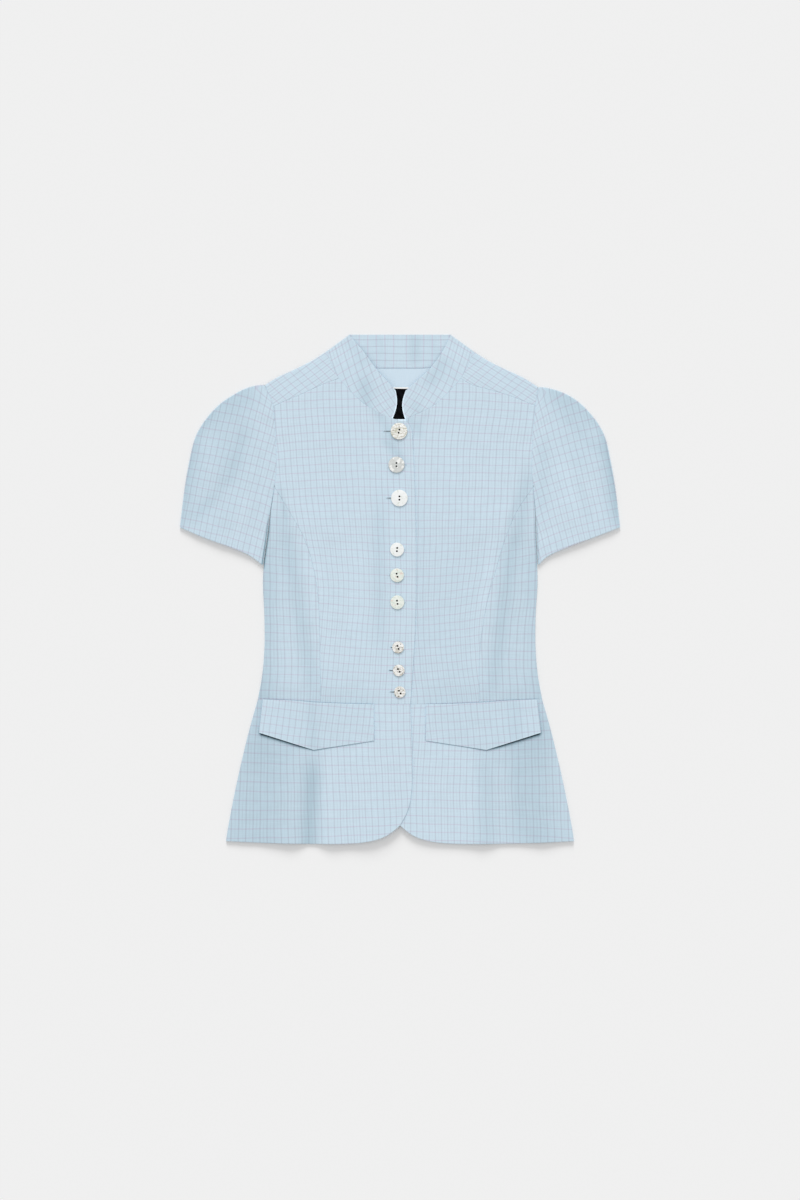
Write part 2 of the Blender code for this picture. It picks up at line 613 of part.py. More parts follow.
def add_buttons(shell):
    """Two-hole shell buttons, turned from a profile, lying flat on the lapped front."""
    for number, (across, up, diameter) in enumerate(BUTTONS, start=1):
        radius = diameter / 2 * MM
        turn = np.linspace(0, 2 * np.pi, 16, endpoint=False)
        ring_out = -across * MM + radius * np.cos(turn)
        ring_up = up * MM + radius * np.sin(turn)
        seat = float(lapped("right", ring_out, ring_up).max()) + WALL + LAYER_GAP
        points = [(share * radius, 0, seat + part * BUTTON_THICK) for share, part in BUTTON_PROFILE]
        edges = [(i, i + 1) for i in range(len(points) - 1)]
        mesh = bpy.data.meshes.new(f"button_{number}")
        mesh.from_pydata(points, edges, [])
        mesh.materials.append(shell)
        button = bpy.data.objects.new(f"button_{number}", mesh)
        button.location = (across * MM, up * MM, 0)
        bpy.data.collections[GARMENT].objects.link(button)
        turned = button.modifiers.new("turned", "SCREW")
        turned.steps = turned.render_steps = BUTTON_SIDES
        turned.use_merge_vertices = True
        turned.merge_threshold = 0.00001
        for place in (-1, 1):
            bpy.ops.mesh.primitive_cylinder_add(
                vertices=10, radius=BUTTON_HOLE / 2, depth=4 * BUTTON_THICK,
                location=(across * MM, up * MM + place * BUTTON_HOLE_PITCH * radius, seat))
            drill = bpy.context.object
            drill.name = f"drill_{number}_{'low' if place < 0 else 'high'}"
            drill.hide_render = True
            drill.display_type = "WIRE"
            for home in drill.users_collection:
                home.objects.unlink(drill)
            bpy.data.collections[CUTTERS].objects.link(drill)
            hole = button.modifiers.new("hole", "BOOLEAN")
            hole.object = drill
            hole.operation = "DIFFERENCE"


def main():
    for obj in list(bpy.data.objects):
        bpy.data.objects.remove(obj, do_unlink=True)
    for name in (GARMENT, CUTTERS):
        bpy.context.scene.collection.children.link(bpy.data.collections.new(name))
    body_cloth = principled("checked_cotton_body", (199, 216, 229), 0.85)
    peplum_cloth = principled("checked_cotton_peplum", (196, 214, 226), 0.85)
    sleeve_cloth = principled("checked_cotton_sleeve", (196, 212, 225), 0.85)
    collar_cloth = principled("checked_cotton_collar", (198, 216, 229), 0.85)
    lining = principled("plain_cotton_lining", (207, 225, 238), 0.8)
    label_cloth = principled("black_woven_label", (22, 23, 28), 0.7)
    shell = principled("pearl_shell", (226, 222, 208), 0.3)
    add_back(body_cloth)
    for side in SIDES:
        add_bodice_front(side, body_cloth)
        add_peplum_front(side, peplum_cloth)
        add_sleeve(side, sleeve_cloth)
    add_collar(collar_cloth)
    add_neck_lining(lining, label_cloth)
    add_buttons(shell)


main()
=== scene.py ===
# %% [markdown]
# # A checked cotton peplum top, laid flat
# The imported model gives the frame: where each panel lies and how high. This file lays the real cloth over it.
# Every panel becomes a thin shell with its own grain, creases and seams, and the hard little things, such as
# buttons and buttonholes, are modelled once each and copied to their places.

# %% Load the frame
import json
import math

import bmesh
import bpy
import numpy as np
from mathutils import Matrix

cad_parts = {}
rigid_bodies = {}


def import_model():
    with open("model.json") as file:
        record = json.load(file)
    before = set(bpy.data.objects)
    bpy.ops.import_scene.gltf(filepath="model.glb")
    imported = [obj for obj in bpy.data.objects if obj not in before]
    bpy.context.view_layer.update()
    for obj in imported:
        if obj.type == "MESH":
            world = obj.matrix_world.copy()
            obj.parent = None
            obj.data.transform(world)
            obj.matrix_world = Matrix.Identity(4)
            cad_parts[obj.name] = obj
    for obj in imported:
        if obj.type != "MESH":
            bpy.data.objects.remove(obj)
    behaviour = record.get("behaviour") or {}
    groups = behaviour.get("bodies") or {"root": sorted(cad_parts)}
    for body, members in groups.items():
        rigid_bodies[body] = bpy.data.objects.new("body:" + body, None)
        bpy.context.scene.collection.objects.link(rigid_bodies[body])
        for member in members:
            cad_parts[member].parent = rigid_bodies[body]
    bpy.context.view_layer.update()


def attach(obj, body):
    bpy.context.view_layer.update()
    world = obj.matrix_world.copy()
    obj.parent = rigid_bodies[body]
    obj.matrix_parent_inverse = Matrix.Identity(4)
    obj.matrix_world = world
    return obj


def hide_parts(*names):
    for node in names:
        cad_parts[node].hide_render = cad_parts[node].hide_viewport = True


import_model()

# %% [markdown]
# ## Sizes that the cloth shares with the solids
# The outlines are short tables in millimetres: how far out from the centre front, and how far up. The same
# numbers made the solids, so a shell laid on them fits with no adjusting. Right and left are the wearer's.

# %% Sizes
MM = 0.001
WALL = 1.2 * MM
LINING_WALL = 1.0 * MM
SEAM_GAP = 0.3 * MM
LAYER_GAP = 0.3 * MM
FLAP_GAP = 0.5 * MM
FLAP_STANDOFF = 2.2 * MM
CROWN = 2.7 * MM
SHOULDER_FADE = 30 * MM
BUTTON_THICK = 2.6 * MM
BUTTONS = (  # across, up, diameter
    (-1.3, 204.7, 21.6),
    (-4.6, 161.2, 21.0),
    (-0.8, 117.9, 21.6),
    (-3.8, 51.1, 18.0),
    (-3.8, 17.8, 17.8),
    (-3.5, -17.3, 18.0),
    (-2.5, -75.8, 15.4),
    (-1.6, -105.7, 15.2),
    (-0.3, -133.8, 15.0),
)
NECK_OF_YOKE = ((95, 309), (88, 290), (79, 273))
NECK_OF_FRONT = ((79, 273), (65, 257.5), (50, 243), (36, 233.5), (22, 227), (7, 220.5))
FRONT_CORNER = (-7, 220)
SHOULDER = ((95, 309), (114.5, 296.5), (136.5, 285.5), (160, 274.5))
FRONT_EDGE = ((-7, 220), (-14.5, 208), (-16.5, 187), (-20, 100), (-20, -40), (-17.5, -90), (-13.5, -149.5))
WAIST = ((-13.5, -149.5), (39, -149.5), (103, -147.5), (143, -144.5), (184.5, -143))
PEPLUM_EDGE = ((-13.5, -149.5), (-16, -235), (-15, -261), (-12.5, -279.5), (-8, -292.5), (0, -307))
PEPLUM_SIDE = ((184.5, -143), (196.5, -186), (212, -252), (223.5, -311), (226, -327.5))
HEM = ((0, -307), (8, -314), (17.5, -320.5), (30, -325.5), (47, -329), (68, -330.8), (113, -331),
       (169, -330), (226, -327.5))
BACK_NECK = ((0, 286.5), (39, 287.5), (62, 294), (80, 301.5), (95, 309))
BACK_HEM = ((0, -304.5), (60, -309), (120, -317), (180, -324), (226, -327.5))
BACK_COLLAR_TOP = ((0, 330.4), (35, 330.4), (66, 330.4))
FLAP_INNER_EDGE = ((34, -149.5), (33.5, -197))
FLAP_TIP = (112, -209)
FLAP_OUTER_EDGE = ((178, -143.2), (183, -186.5))
LINING_HALF_WIDTH = 48 * MM
LINING_LOW = 200 * MM
LABEL_HALF_WIDTH = 11.5 * MM
LABEL_RANGE = (214 * MM, 258.5 * MM)
SIDES = {
    "right": {
        "sign": -1,
        "yoke_seam": ((79, 273), (88.5, 270), (104, 264), (130, 252), (152, 243), (164, 237)),
        "armhole_of_yoke": ((175.5, 265), (170, 252), (164, 237)),
        "armhole": ((164, 237), (162.5, 213), (161, 187), (161, 152), (163, 132.5)),
        "princess": ((163, 132.5), (143, 99), (126, 69), (113, 30), (105.5, -21), (104, -86), (103, -147.5)),
        "side": ((163.5, 130), (168, 100), (171.5, 70), (177, 30), (178, 5), (176.3, -30), (176, -75),
                 (179, -112), (184.5, -143)),
        "underarm": ((163, 132.5), (170, 100), (173.5, 70), (177, 44), (178.8, 31)),
        "cap": ((175.5, 265), (186, 264.5), (202, 260), (217, 252), (232, 242), (245, 229.5), (257, 214),
                (266, 197), (273, 170), (280, 130), (286, 80.5)),
        "cuff": ((178.8, 31), (196.5, 44), (223.5, 55.5), (255, 67), (286, 80.5)),
        "collar_top": ((66, 330), (47.5, 308), (30.5, 284.7), (13.6, 265.8), (6.5, 257.5)),
    },
    "left": {
        "sign": 1,
        "yoke_seam": ((79, 273), (93.5, 265), (113, 259.5), (138, 252.5), (155.5, 246), (176, 238)),
        "armhole_of_yoke": ((179, 262.5), (178, 252), (176, 238)),
        "armhole": ((176, 238), (173.5, 213), (172, 187), (171.5, 152), (173, 132.5)),
        "princess": ((173, 132.5), (151, 99), (136, 62.5), (124, 22), (112, -23.5), (104, -79.5), (103, -147.5)),
        "side": ((173.5, 130), (175.5, 100), (176.5, 70), (178.3, 30), (178.5, 5), (176.3, -30), (176, -75),
                 (179, -112), (184.5, -143)),
        "underarm": ((173, 132.5), (177.5, 100), (178.8, 70), (180.2, 44), (180.6, 31)),
        "cap": ((179, 262.5), (190, 261.5), (207, 257), (222, 250), (235, 240.5), (246, 229.5), (258, 214),
                (266.5, 197), (273, 170), (280, 130), (286, 80.5)),
        "cuff": ((180.6, 31), (192, 42), (222, 56), (250, 66.5), (286, 80.5)),
        "collar_top": ((66, 330), (54.5, 307), (37.7, 284.7), (17.5, 267), (6.5, 257.5)),
    },
}
FULLNESS = ((331, 1.0), (190, 1.0), (60, 0.9), (-60, 0.6), (-149, 0.45), (-240, 0.6), (-331, 0.5))
CROWN_REACH = ((331, 150), (265, 176), (187, 162), (132, 164), (5, 178), (-75, 176), (-143, 184.5),
               (-252, 212), (-331, 227))
FOLDS = (  # side, out and up at the top, out and up at the foot, half width, height
    ("right", 104, -165, 115, -345, 17, -1.5),
    ("right", 84, -170, 88, -345, 16, 1.2),
    ("right", 132, -165, 146, -345, 20, 1.5),
    ("right", 40, -220, 46, -345, 22, 0.7),
    ("left", 104, -165, 112, -345, 15, 1.6),
    ("left", 132, -170, 140, -345, 22, -1.4),
    ("left", 165, -175, 188, -345, 18, 1.2),
    ("left", 60, -215, 66, -345, 22, -0.6),
    ("left", 44, 238, 12, 184, 8, -0.9),
    ("left", 136, 95, 128, -20, 16, -0.9),
    ("right", 124, 90, 106, -20, 14, -0.5),
    ("right", 110, 130, 92, 40, 34, 1.2),
    ("left", 116, 130, 96, 40, 34, 1.2),
    ("right", 168, 20, 160, -130, 12, -0.8),
    ("left", 168, 20, 160, -130, 12, -0.8),
)
FOLD_RADIUS = (WALL + LAYER_GAP) / 2
LOW_LAYER = WALL / 2 + 0.03 * MM
SLEEVE_CROWN = 2.7 * MM
SLEEVE_TIP = 2.5 * MM
SLEEVE_FOLDS = (
    ("right", 198, 190, 246, 84, 14, -1.1),
    ("right", 226, 222, 262, 84, 18, 0.7),
    ("right", 184, 160, 204, 52, 12, 0.6),
    ("left", 196, 205, 214, 60, 13, -0.8),
    ("left", 222, 226, 258, 84, 18, 0.7),
    ("left", 236, 190, 244, 70, 10, -0.5),
)
LAP_FULL = 27 * MM
LAP_END = 70 * MM
print(len(SIDES), "sides,", len(FOLDS) + len(SLEEVE_FOLDS), "large folds,", len(BUTTONS), "buttons")

# %% [markdown]
# ## Smooth lines and fine grids
# A pattern cutter draws each seam as a curve through a few marks. Here a centripetal spline does the same. A panel
# is a Coons grid between four such curves, which keeps its columns running down the cloth. It has a fine border of
# small cells, because a seam or a rolled edge bends the cloth within two millimetres.

# %% Lines and grids
CELL = 2.6 * MM
BORDER = (0.35 * MM, 0.8 * MM, 1.5 * MM)
SEWN_GAP = 0.04 * MM


def centripetal(four, parts):
    """Points at these parts of the way between the middle two of four marks."""
    time = np.concatenate([[0], np.cumsum(np.sqrt(np.linalg.norm(np.diff(four, axis=0), axis=1)))])
    at = (time[1] + parts * (time[2] - time[1]))[:, None]

    def blend(low, high, start, end):
        """Low at the start, high at the end, in proportion between them."""
        return (low * (end - at) + high * (at - start)) / (end - start)

    first = [blend(four[i], four[i + 1], time[i], time[i + 1]) for i in range(3)]
    second = [blend(first[i], first[i + 1], time[i], time[i + 2]) for i in range(2)]
    return blend(second[0], second[1], time[1], time[2])


def line(rows):
    """A table's rows, in millimetres, as many points on one smooth curve, in metres."""
    knots = np.array(rows, float) * MM
    if len(knots) == 2:
        return knots
    padded = np.vstack([2 * knots[0] - knots[1], knots, 2 * knots[-1] - knots[-2]])
    fine = [centripetal(padded[i : i + 4], np.linspace(0, 1, 24, endpoint=False)) for i in range(len(knots) - 1)]
    return np.vstack([*fine, knots[-1:]])


def joined(*lines):
    """Lines end to end, each shared point kept once."""
    return np.vstack([lines[0]] + [part[1:] for part in lines[1:]])


def travelled(points):
    """How far along a line each of its points lies."""
    return np.concatenate([[0], np.cumsum(np.linalg.norm(np.diff(points, axis=0), axis=1))])


def read(points, shares):
    """The points of a line at these shares of its length."""
    length = travelled(points)
    wanted = np.asarray(shares) * length[-1]
    return np.column_stack([np.interp(wanted, length, points[:, k]) for k in range(points.shape[1])])


def divisions(*lines, cell=CELL):
    """Shares of a chain of lines: even cells, a mark at each join, and a fine border at both ends."""
    ends = np.cumsum([travelled(part)[-1] for part in lines])
    marks = [0.0]
    for start, end in zip([0, *ends[:-1]], ends):
        count = max(1, round((end - start) / cell))
        marks += list(np.linspace(start, end, count + 1)[1:])
    border = [*BORDER, *(ends[-1] - b for b in BORDER)]
    kept = [m for m in marks if m in (0.0, *ends) or min(m, ends[-1] - m) > BORDER[-1] + cell / 3]
    return np.array(sorted(kept + border)) / ends[-1]


def coons(top, foot, inner, outer, out, down):
    """The grid between four edges: rows go down the garment, columns go out."""
    top, foot = read(top, out), read(foot, out)
    inner, outer = read(inner, down), read(outer, down)
    down, out = down[:, None, None], out[None, :, None]
    corners = (1 - down) * ((1 - out) * top[0] + out * top[-1]) + down * ((1 - out) * foot[0] + out * foot[-1])
    return (1 - down) * top[None] + down * foot[None] + (1 - out) * inner[:, None] + out * outer[:, None] - corners


def inward(edge, towards):
    """Unit normals of an edge, on the side where its neighbours lie."""
    run = np.gradient(edge, axis=0)
    normal = np.column_stack([-run[:, 1], run[:, 0]])
    normal /= np.linalg.norm(normal, axis=1)[:, None]
    return normal * np.sign((normal * (towards - edge)).sum(axis=1).sum())


def inset(grid, top=True, foot=True, inner=True, outer=True):
    """The grid with its sewn edges drawn in by half of the gap between two panels."""
    moved = grid.copy()
    edges = ((top, np.s_[0], np.s_[1]), (foot, np.s_[-1], np.s_[-2]),
             (inner, np.s_[:, 0], np.s_[:, 1]), (outer, np.s_[:, -1], np.s_[:, -2]))
    for sewn, edge, neighbour in edges:
        if sewn:
            moved[edge] += SEWN_GAP / 2 * inward(grid[edge], grid[neighbour])
    return moved


seam_lines = {}
for side, rows in SIDES.items():
    waist = line(WAIST)
    split = int(np.argmin(np.linalg.norm(waist - np.array(rows["princess"][-1]) * MM, axis=1)))
    drawn = {name: line(rows[name]) for name in ("yoke_seam", "armhole_of_yoke", "armhole", "princess", "side")}
    seam_lines[side] = drawn | {
        "stub": line((FRONT_CORNER, NECK_OF_FRONT[-1])),
        "neck_of_front": line(NECK_OF_FRONT)[::-1],
        "neck_of_yoke": line(NECK_OF_YOKE),
        "shoulder": line((*SHOULDER, rows["armhole_of_yoke"][0])),
        "front_edge": line(FRONT_EDGE),
        "waist_front": waist[: split + 1],
        "waist_side": waist[split:],
    }
for name, rows in (("waist", WAIST), ("front edge", FRONT_EDGE)):
    print(name, "of", round(travelled(line(rows))[-1] / MM), "mm")

# %% [markdown]
# ## How high the cloth lies
# The front lies on the back as a low pillow: highest at the centre, flat at the seams. Soft folds are bells across
# a run, and the right front climbs over the left one where they lap. These are the solids' own functions, so the
# shell follows them everywhere, and the small creases below are added to them.

# %% Heights
LOWEST_HEM = -331  # a fold that ends below it keeps its strength to the hem


def ease(value, low, high):
    """0 up to low, 1 from high on, and a smooth rise between."""
    part = np.clip((value - low) / (high - low), 0, 1)
    return part * part * (3 - 2 * part)


def from_table(table, up):
    """The value at each height, between the rows of a table."""
    rows = np.array(sorted(table), float)
    return np.interp(up / MM, rows[:, 0], rows[:, 1])


def beside_run(ends, out, up):
    """How far down a run each point lies, how far beside it, and the run's length. ends are out, up, out, up."""
    start = np.array(ends[:2]) * MM
    run = np.array(ends[2:]) * MM - start
    length = math.hypot(*run)
    way = run / length
    down = (out - start[0]) * way[0] + (up - start[1]) * way[1]
    return down, (out - start[0]) * way[1] - (up - start[1]) * way[0], length


def folds(table, side, out, up):
    """The sum of a side's folds, each a bell across its run that fades at both ends."""
    total = np.zeros_like(out)
    for row_side, *ends, half_width, height in table:
        if row_side == side:
            down, across, length = beside_run(ends, out, up)
            fade = np.sin(np.pi * np.clip(down / length, 0, 1)) ** 2
            if ends[3] < LOWEST_HEM:
                fade = ease(down, 0, 0.8 * length)
            total += height * MM * fade * np.exp(-((across / (half_width * MM)) ** 2))
    return total


def below_shoulder(out, up):
    """How far below the shoulder seam a point lies."""
    start, end = np.array(SHOULDER)[[0, -1]] * MM
    way = (end - start) / np.linalg.norm(end - start)
    return (out - start[0]) * way[1] - (up - start[1]) * way[0]


def front_underside(side, out, up):
    """Height of a front's lower face, were there no lap."""
    reach = from_table(CROWN_REACH, up) * MM
    across = np.clip(1 - (out / reach) ** 2, 0, 1) ** 0.8
    crown = CROWN * from_table(FULLNESS, up) * across * ease(below_shoulder(out, up), 0, SHOULDER_FADE)
    clear = ease(reach - out, 0, 18 * MM)
    return WALL + LAYER_GAP + np.maximum(crown + clear * folds(FOLDS, side, out, up), 0)


def lapped(side, out, up):
    """Height of a front's lower face, where the right front climbs over the left one."""
    height = front_underside(side, out, up)
    if side == "left":
        return height
    shared = np.where(out < LAP_FULL, front_underside("left", -out, up), height)
    return np.maximum(height, shared) + (WALL + LAYER_GAP) * (1 - ease(out, LAP_FULL, LAP_END))


first_button = float(lapped("right", np.array(1.3 * MM), np.array(204.7 * MM)))
print("height at the first button", round(first_button / MM, 2), "mm")

# %% [markdown]
# ## Small creases and seams
# Real cotton remembers where it was folded and pulled. Each crease is placed one by one, with its own width, height
# and painted shade, and no two match. The painted shade darkens a crease's valley and faintly lightens some ridges.
# A seam pulls its two edges down into a shallow groove and puckers them slightly, because the thread is a little
# shorter than the cloth.

# %% Creases, rolled edges and puckers
CLOTH = 0.8 * MM
GROOVE = (0.42 * MM, 1.0 * MM)
EDGE_ROLLS = {"seam": GROOVE, "free": (0.3 * MM, 0.9 * MM), "side": (1.25 * MM, 3.2 * MM)}
PUCKERS = {"seam": 0.05 * MM, "side": 0.04 * MM}
# The last column of each crease is a painted shade: below 0 darker, above 0 lighter.
CREASES = (  # side, out and up at the top, out and up at the foot, half width, height, tone
    ("left", 39, 232, 20, 205, 4.5, -0.45, -0.03),
    ("left", 30, 226, 14, 176, 4, 0.4, 0),
    ("left", 156, 125, 136, 70, 3.5, -0.5, -0.03),
    ("left", 146, 118, 128, 62, 4, 0.4, 0.01),
    ("left", 122, 70, 104, -58, 6.5, 0.9, 0.03),
    ("left", 172, 175, 143, 25, 11, -0.5, -0.085),
    ("left", 150, 90, 114, -170, 11, -0.5, -0.09),
    ("left", 98, -30, 96, -128, 5, 0.45, 0.01),
    ("left", 60, 210, 70, 120, 15, 0.35, 0.01),
    ("left", 27, 160, 28, -165, 10, -0.2, -0.02),
    ("left", 70, 130, 70, -190, 40, 0, -0.02),
    ("left", 178, 130, 190, -270, 20, -0.2, -0.085),
    ("left", 152, 120, 146, -240, 24, 0, -0.035),
    ("left", 60, 40, 48, -90, 14, -0.3, -0.01),
    ("left", 6, 232, 32, 192, 7, -0.3, -0.07),
    ("right", 160, 145, 145, 78, 3, -0.5, -0.06),
    ("right", 150, 124, 124, 62, 4, 0.45, 0.01),
    ("right", 158, 140, 106, -175, 12, -0.5, -0.09),
    ("right", 176, 150, 188, -260, 24, -0.2, -0.12),
    ("right", 112, 60, 98, -30, 5, 0.5, 0.015),
    ("right", 98, -20, 90, -120, 6, 0.4, 0.01),
    ("right", 28, 150, 25, -110, 10, -0.35, -0.055),
    ("right", 30, 200, 44, 120, 9, 0.35, 0.01),
    ("right", 66, 70, 52, -70, 14, 0.3, 0.015),
    ("right", 43, 256, -6, 168, 8, -0.5, -0.075),
    ("right", 28, 200, -10, 160, 6, -0.25, -0.085),
    ("right", 112, -203, 119, -345, 12, -0.4, -0.165),
    ("right", 130, -200, 139, -320, 8, 0.5, 0),
    ("right", 164, -165, 184, -345, 48, -0.2, -0.115),
    ("right", 206, -180, 230, -345, 22, 0, -0.035),
    ("right", 92, -205, 96, -320, 8, 0.5, 0.015),
    ("left", 108, -190, 114, -345, 14, -0.4, -0.07),
    ("left", 134, -195, 141, -310, 8, 0.5, 0),
    ("left", 157, -150, 180, -345, 38, -0.2, -0.12),
    ("left", 150, -200, 158, -330, 8, -0.3, -0.02),
    ("left", 92, -205, 96, -320, 8, 0.4, 0.01),
    ("left", 214, -220, 228, -345, 14, 0.2, -0.02),
)
# Rows as for the fronts: the last column is a painted shade.
COLLAR_CREASES = (
    ("right", 48, 290, 40, 190, 10, -0.2, -0.1),
    ("right", 70, 326, 40, 284, 8, -0.2, -0.05),
    ("left", 16, 250, 34, 200, 8, -0.2, -0.06),
    ("left", 66, 306, 30, 256, 9, -0.3, -0.065),
    ("left", 44, 246, 18, 226, 5, 0.3, 0.01),
)
# Painted shade only: these rows don't raise the cloth.
COLLAR_BACK_PAINTED_SHADES = (
    ("left", 18, 344, 20, 284, 8, 0, -0.08),
    ("left", 40, 340, 46, 290, 7, 0, -0.02),
    ("right", 30, 340, 22, 284, 8, 0, -0.02),
)
RIPPLES = (  # one wave's length across and up, height, start
    (67, 37, 0.12, 0.4),
    (-43, 57, 0.1, 1.9),
    (31, -89, 0.07, 3.1),
    (-19, 41, 0.035, 5.0),
    (23, 53, 0.03, 2.2),
)


def strokes(table, side, out, up):
    """Height and painted shade of a side's creases: bells across their runs that fade at the ends."""
    height, painted_shade_and_rim = np.zeros_like(out), np.ones_like(out)
    for row_side, *ends, half_width, rise, shade in table:
        if row_side == side:
            down, across, length = beside_run(ends, out, up)
            fade = ease(down, 0, 0.3 * length)
            if ends[3] > LOWEST_HEM:
                fade = fade * ease(length - down, 0, 0.3 * length)
            bell = fade * np.exp(-((across / (half_width * MM)) ** 2))
            height += rise * MM * bell
            painted_shade_and_rim += shade * bell
    return height, painted_shade_and_rim


def ripple(across, up):
    """Faint overlapping waves, as in cloth that was ironed and then handled."""
    total = np.zeros_like(across)
    for wave_across, wave_up, height, start in RIPPLES:
        wave = np.sin(2 * np.pi * (across / (wave_across * MM) + up / (wave_up * MM)) + start)
        swell = np.cos(2 * np.pi * (up / (1.9 * wave_across * MM) - across / (2.7 * wave_up * MM)) + 2 * start)
        total += height * MM * wave * swell
    return total


def roll(distance, depth, width):
    """How far cloth turns down at this distance from an edge: a quarter of an ellipse."""
    part = np.clip(1 - distance / width, 0, 1)
    return depth * (1 - np.sqrt(1 - part * part))


def pucker(distance, along, height):
    """Uneven little waves along a seam, gone 9 mm away from it."""
    wave = np.sin(along / (2.1 * MM)) + 0.7 * np.sin(along / (3.4 * MM) + 1.3) + 0.6 * np.sin(along / (5.9 * MM))
    return height * wave * np.exp(-((distance / (5 * MM)) ** 2)) * ease(distance, 0, 2 * MM)


def edge_distances(grid):
    """How far each point of a grid lies from its top, foot, inner and outer edge."""
    return (np.linalg.norm(grid - grid[:1], axis=2), np.linalg.norm(grid - grid[-1:], axis=2),
            np.linalg.norm(grid - grid[:, :1], axis=2), np.linalg.norm(grid - grid[:, -1:], axis=2))


def edge_relief(grid, kinds):
    """Grooves and puckers at seams and small rolls at free edges. kinds are top, foot, inner, outer."""
    relief, depth = np.zeros(grid.shape[:2]), np.zeros(grid.shape[:2])
    for which, (kind, distance) in enumerate(zip(kinds, edge_distances(grid))):
        if kind:
            depth = np.maximum(depth, roll(distance, *EDGE_ROLLS[kind]))
        if kind in PUCKERS:
            relief += pucker(distance, grid[..., which // 2], PUCKERS[kind])
    return relief - depth


print(len(CREASES), "small creases on the fronts")

# %% [markdown]
# ## Grain
# On a panel that was shaped by its seams the lengthwise lines drift inwards and out again. A short table says how
# far, at the panel's inner edge, its middle and its outer edge, and how far the crosswise lines are lifted there.
# The result is a UV map in metres of cloth.

# %% Grain tables
GRAIN = {  # up, lengthwise shift at the inner edge, middle and outer edge, crosswise lift at the same three
    "front_right": (
        (240, 0, 0, 0, 0, 1, -4), (174, 2, 4, 6, 0, 1, -5), (110, 3, 8, 11, 0, 2, -1), (57, 3, 11, 20, 0, 2.5, 8),
        (18, 3, 12.5, 26, 0, 4, 8), (-14, 3, 13, 27, 0, 3, 8), (-60, 3, 9, 22, 0, 1, 7), (-105, 3, 5, 17, 0, 1, 5),
        (-149, 3, 1, 12, 0, 0.5, 2)),
    "front_left": (
        (240, 0, 0, 0, 0, 0, -6), (190, 3, 7, 7, 0, -1, -4), (115, 3, 9, 11, 0, 0, 1), (57, 3, 9.5, 15, 0, 1, 5),
        (18, 3, 11, 21, 0, 1, 8), (-21, 3, 12, 30, 0, 1, 11), (-50, 3, 11, 33, 0, 1, 9), (-99, 3, 7, 28, 0, 3, 8),
        (-149, 3, -1, 17, 0, 2, 5)),
    "side_front_right": (
        (130, 0, 0, 0, 0, 0, 0), (96, 2, 0, -2, 0, 2, 3), (38, 4, 0, -3, 0, 3.3, 6.6), (-21, 6, 1, -3, 0, 1.5, 3),
        (-60, 7, 3, -3, 0, 1, 2), (-105, 7, 4, -4, 0, 0.6, 1.2), (-143, 6, 2, -8, 0, 1, 2)),
    "side_front_left": (
        (130, 0, 0, 0, 0, 0, 0), (77, 1, -1, -1, 0, 2, 4), (38, 4, -1, -3, 0, 5, 10), (0, 8, 1, -3, 0, 2, 4),
        (-60, 13, 8, 1, 0, 0, 0), (-99, 13, 9, 1, 0, -1, -2), (-143, 11, 6, -5, 0, -1, -2)),
    "peplum_front_right": (
        (-149, 0, 0, 0, 0, 1.5, 6.5), (-200, 2, 0, -5, 0, 0.5, 6), (-261, 5, 3, -9, 0, -2.5, -1),
        (-331, 8, 4, -14, 0, -5, -8)),
    "peplum_front_left": (
        (-149, 0, 0, 0, 0, 1.5, 6.5), (-200, 2, 2, -5, 0, -2, 2), (-261, 6, 4, -9, 0, -3.5, -4),
        (-331, 6, 1, -13, 0, -3, -10)),
    "flap_right": ((-143, 0, 0, 0, 0, 5.5, 15), (-209, -8.5, -8, -9.5, 0, 5.5, 15)),
    "flap_left": ((-143, 0, 0, 0, 0, 4.5, 11), (-209, -6.3, -6.3, -6.3, 0, 4.5, 11)),
    "sleeve_right": ((260, 0, 0, 0, 0, 13, 22), (30, -57, -53, -45, 0, 19, 34)),
    "sleeve_left": ((260, 0, 0, 0, 0, 15, 28), (30, -61, -57, -45, 0, 22, 36)),
    "back": ((310, 0, 0, 0, 0, 0, 0), (130, 0, 0, 1, 0, 1, -2), (0, 0, 3, 8, 0, 1, 2), (-149, 0, 1, 3, 0, 0, 3)),
    "back_peplum": ((-149, 0, 0, 0, 0, 0, 3), (-331, 0, -3, -14, 0, -2, -6)),
}
GRAIN_SCALE = {  # lengthwise and crosswise lines, drawn closer above 1
    "front_right": (1.02, 1.0), "front_left": (0.95, 1.0), "side_front_right": (1.1, 0.98),
    "side_front_left": (1.06, 0.98), "peplum_front_right": (1.04, 0.94), "peplum_front_left": (1.04, 0.98),
    "flap_right": (1.02, 0.97), "flap_left": (1.03, 0.99), "sleeve_right": (0.98, 0.93),
    "sleeve_left": (0.95, 0.95), "back": (1.0, 1.0), "back_peplum": (1.0, 0.96),
}
GRAIN_BLUR = (-16, -8, 0, 8, 16)


def threeway(share, inner, middle, outer):
    """A parabola through the values at an inner edge, a middle and an outer edge."""
    return (inner * (1 - share) * (1 - 2 * share) + middle * 4 * share * (1 - share)
            + outer * share * (2 * share - 1))


def led_grain(piece, out, up, share):
    """Cloth coordinates of a panel: out and up, shifted and lifted by its grain table."""
    rows = np.array(sorted(GRAIN[piece]), float)
    read_at = [np.mean([np.interp(up / MM + blur, rows[:, 0], rows[:, k]) for blur in GRAIN_BLUR], axis=0)
               for k in range(1, 7)]
    across = out + threeway(share, *read_at[:3]) * MM
    lengthwise = up - threeway(share, *read_at[3:]) * MM
    scale = GRAIN_SCALE[piece]
    return np.dstack([across * scale[0], lengthwise * scale[1]])


def turned_grain(out, up, along, across, scale):
    """Straight grain on a piece cut at an angle, in degrees below and above the horizontal going out."""
    along, across = math.radians(along), math.radians(across)
    return np.dstack([(out * math.sin(along) + up * math.cos(along)) * scale[0],
                      (up * math.cos(across) - out * math.sin(across)) * scale[1]])


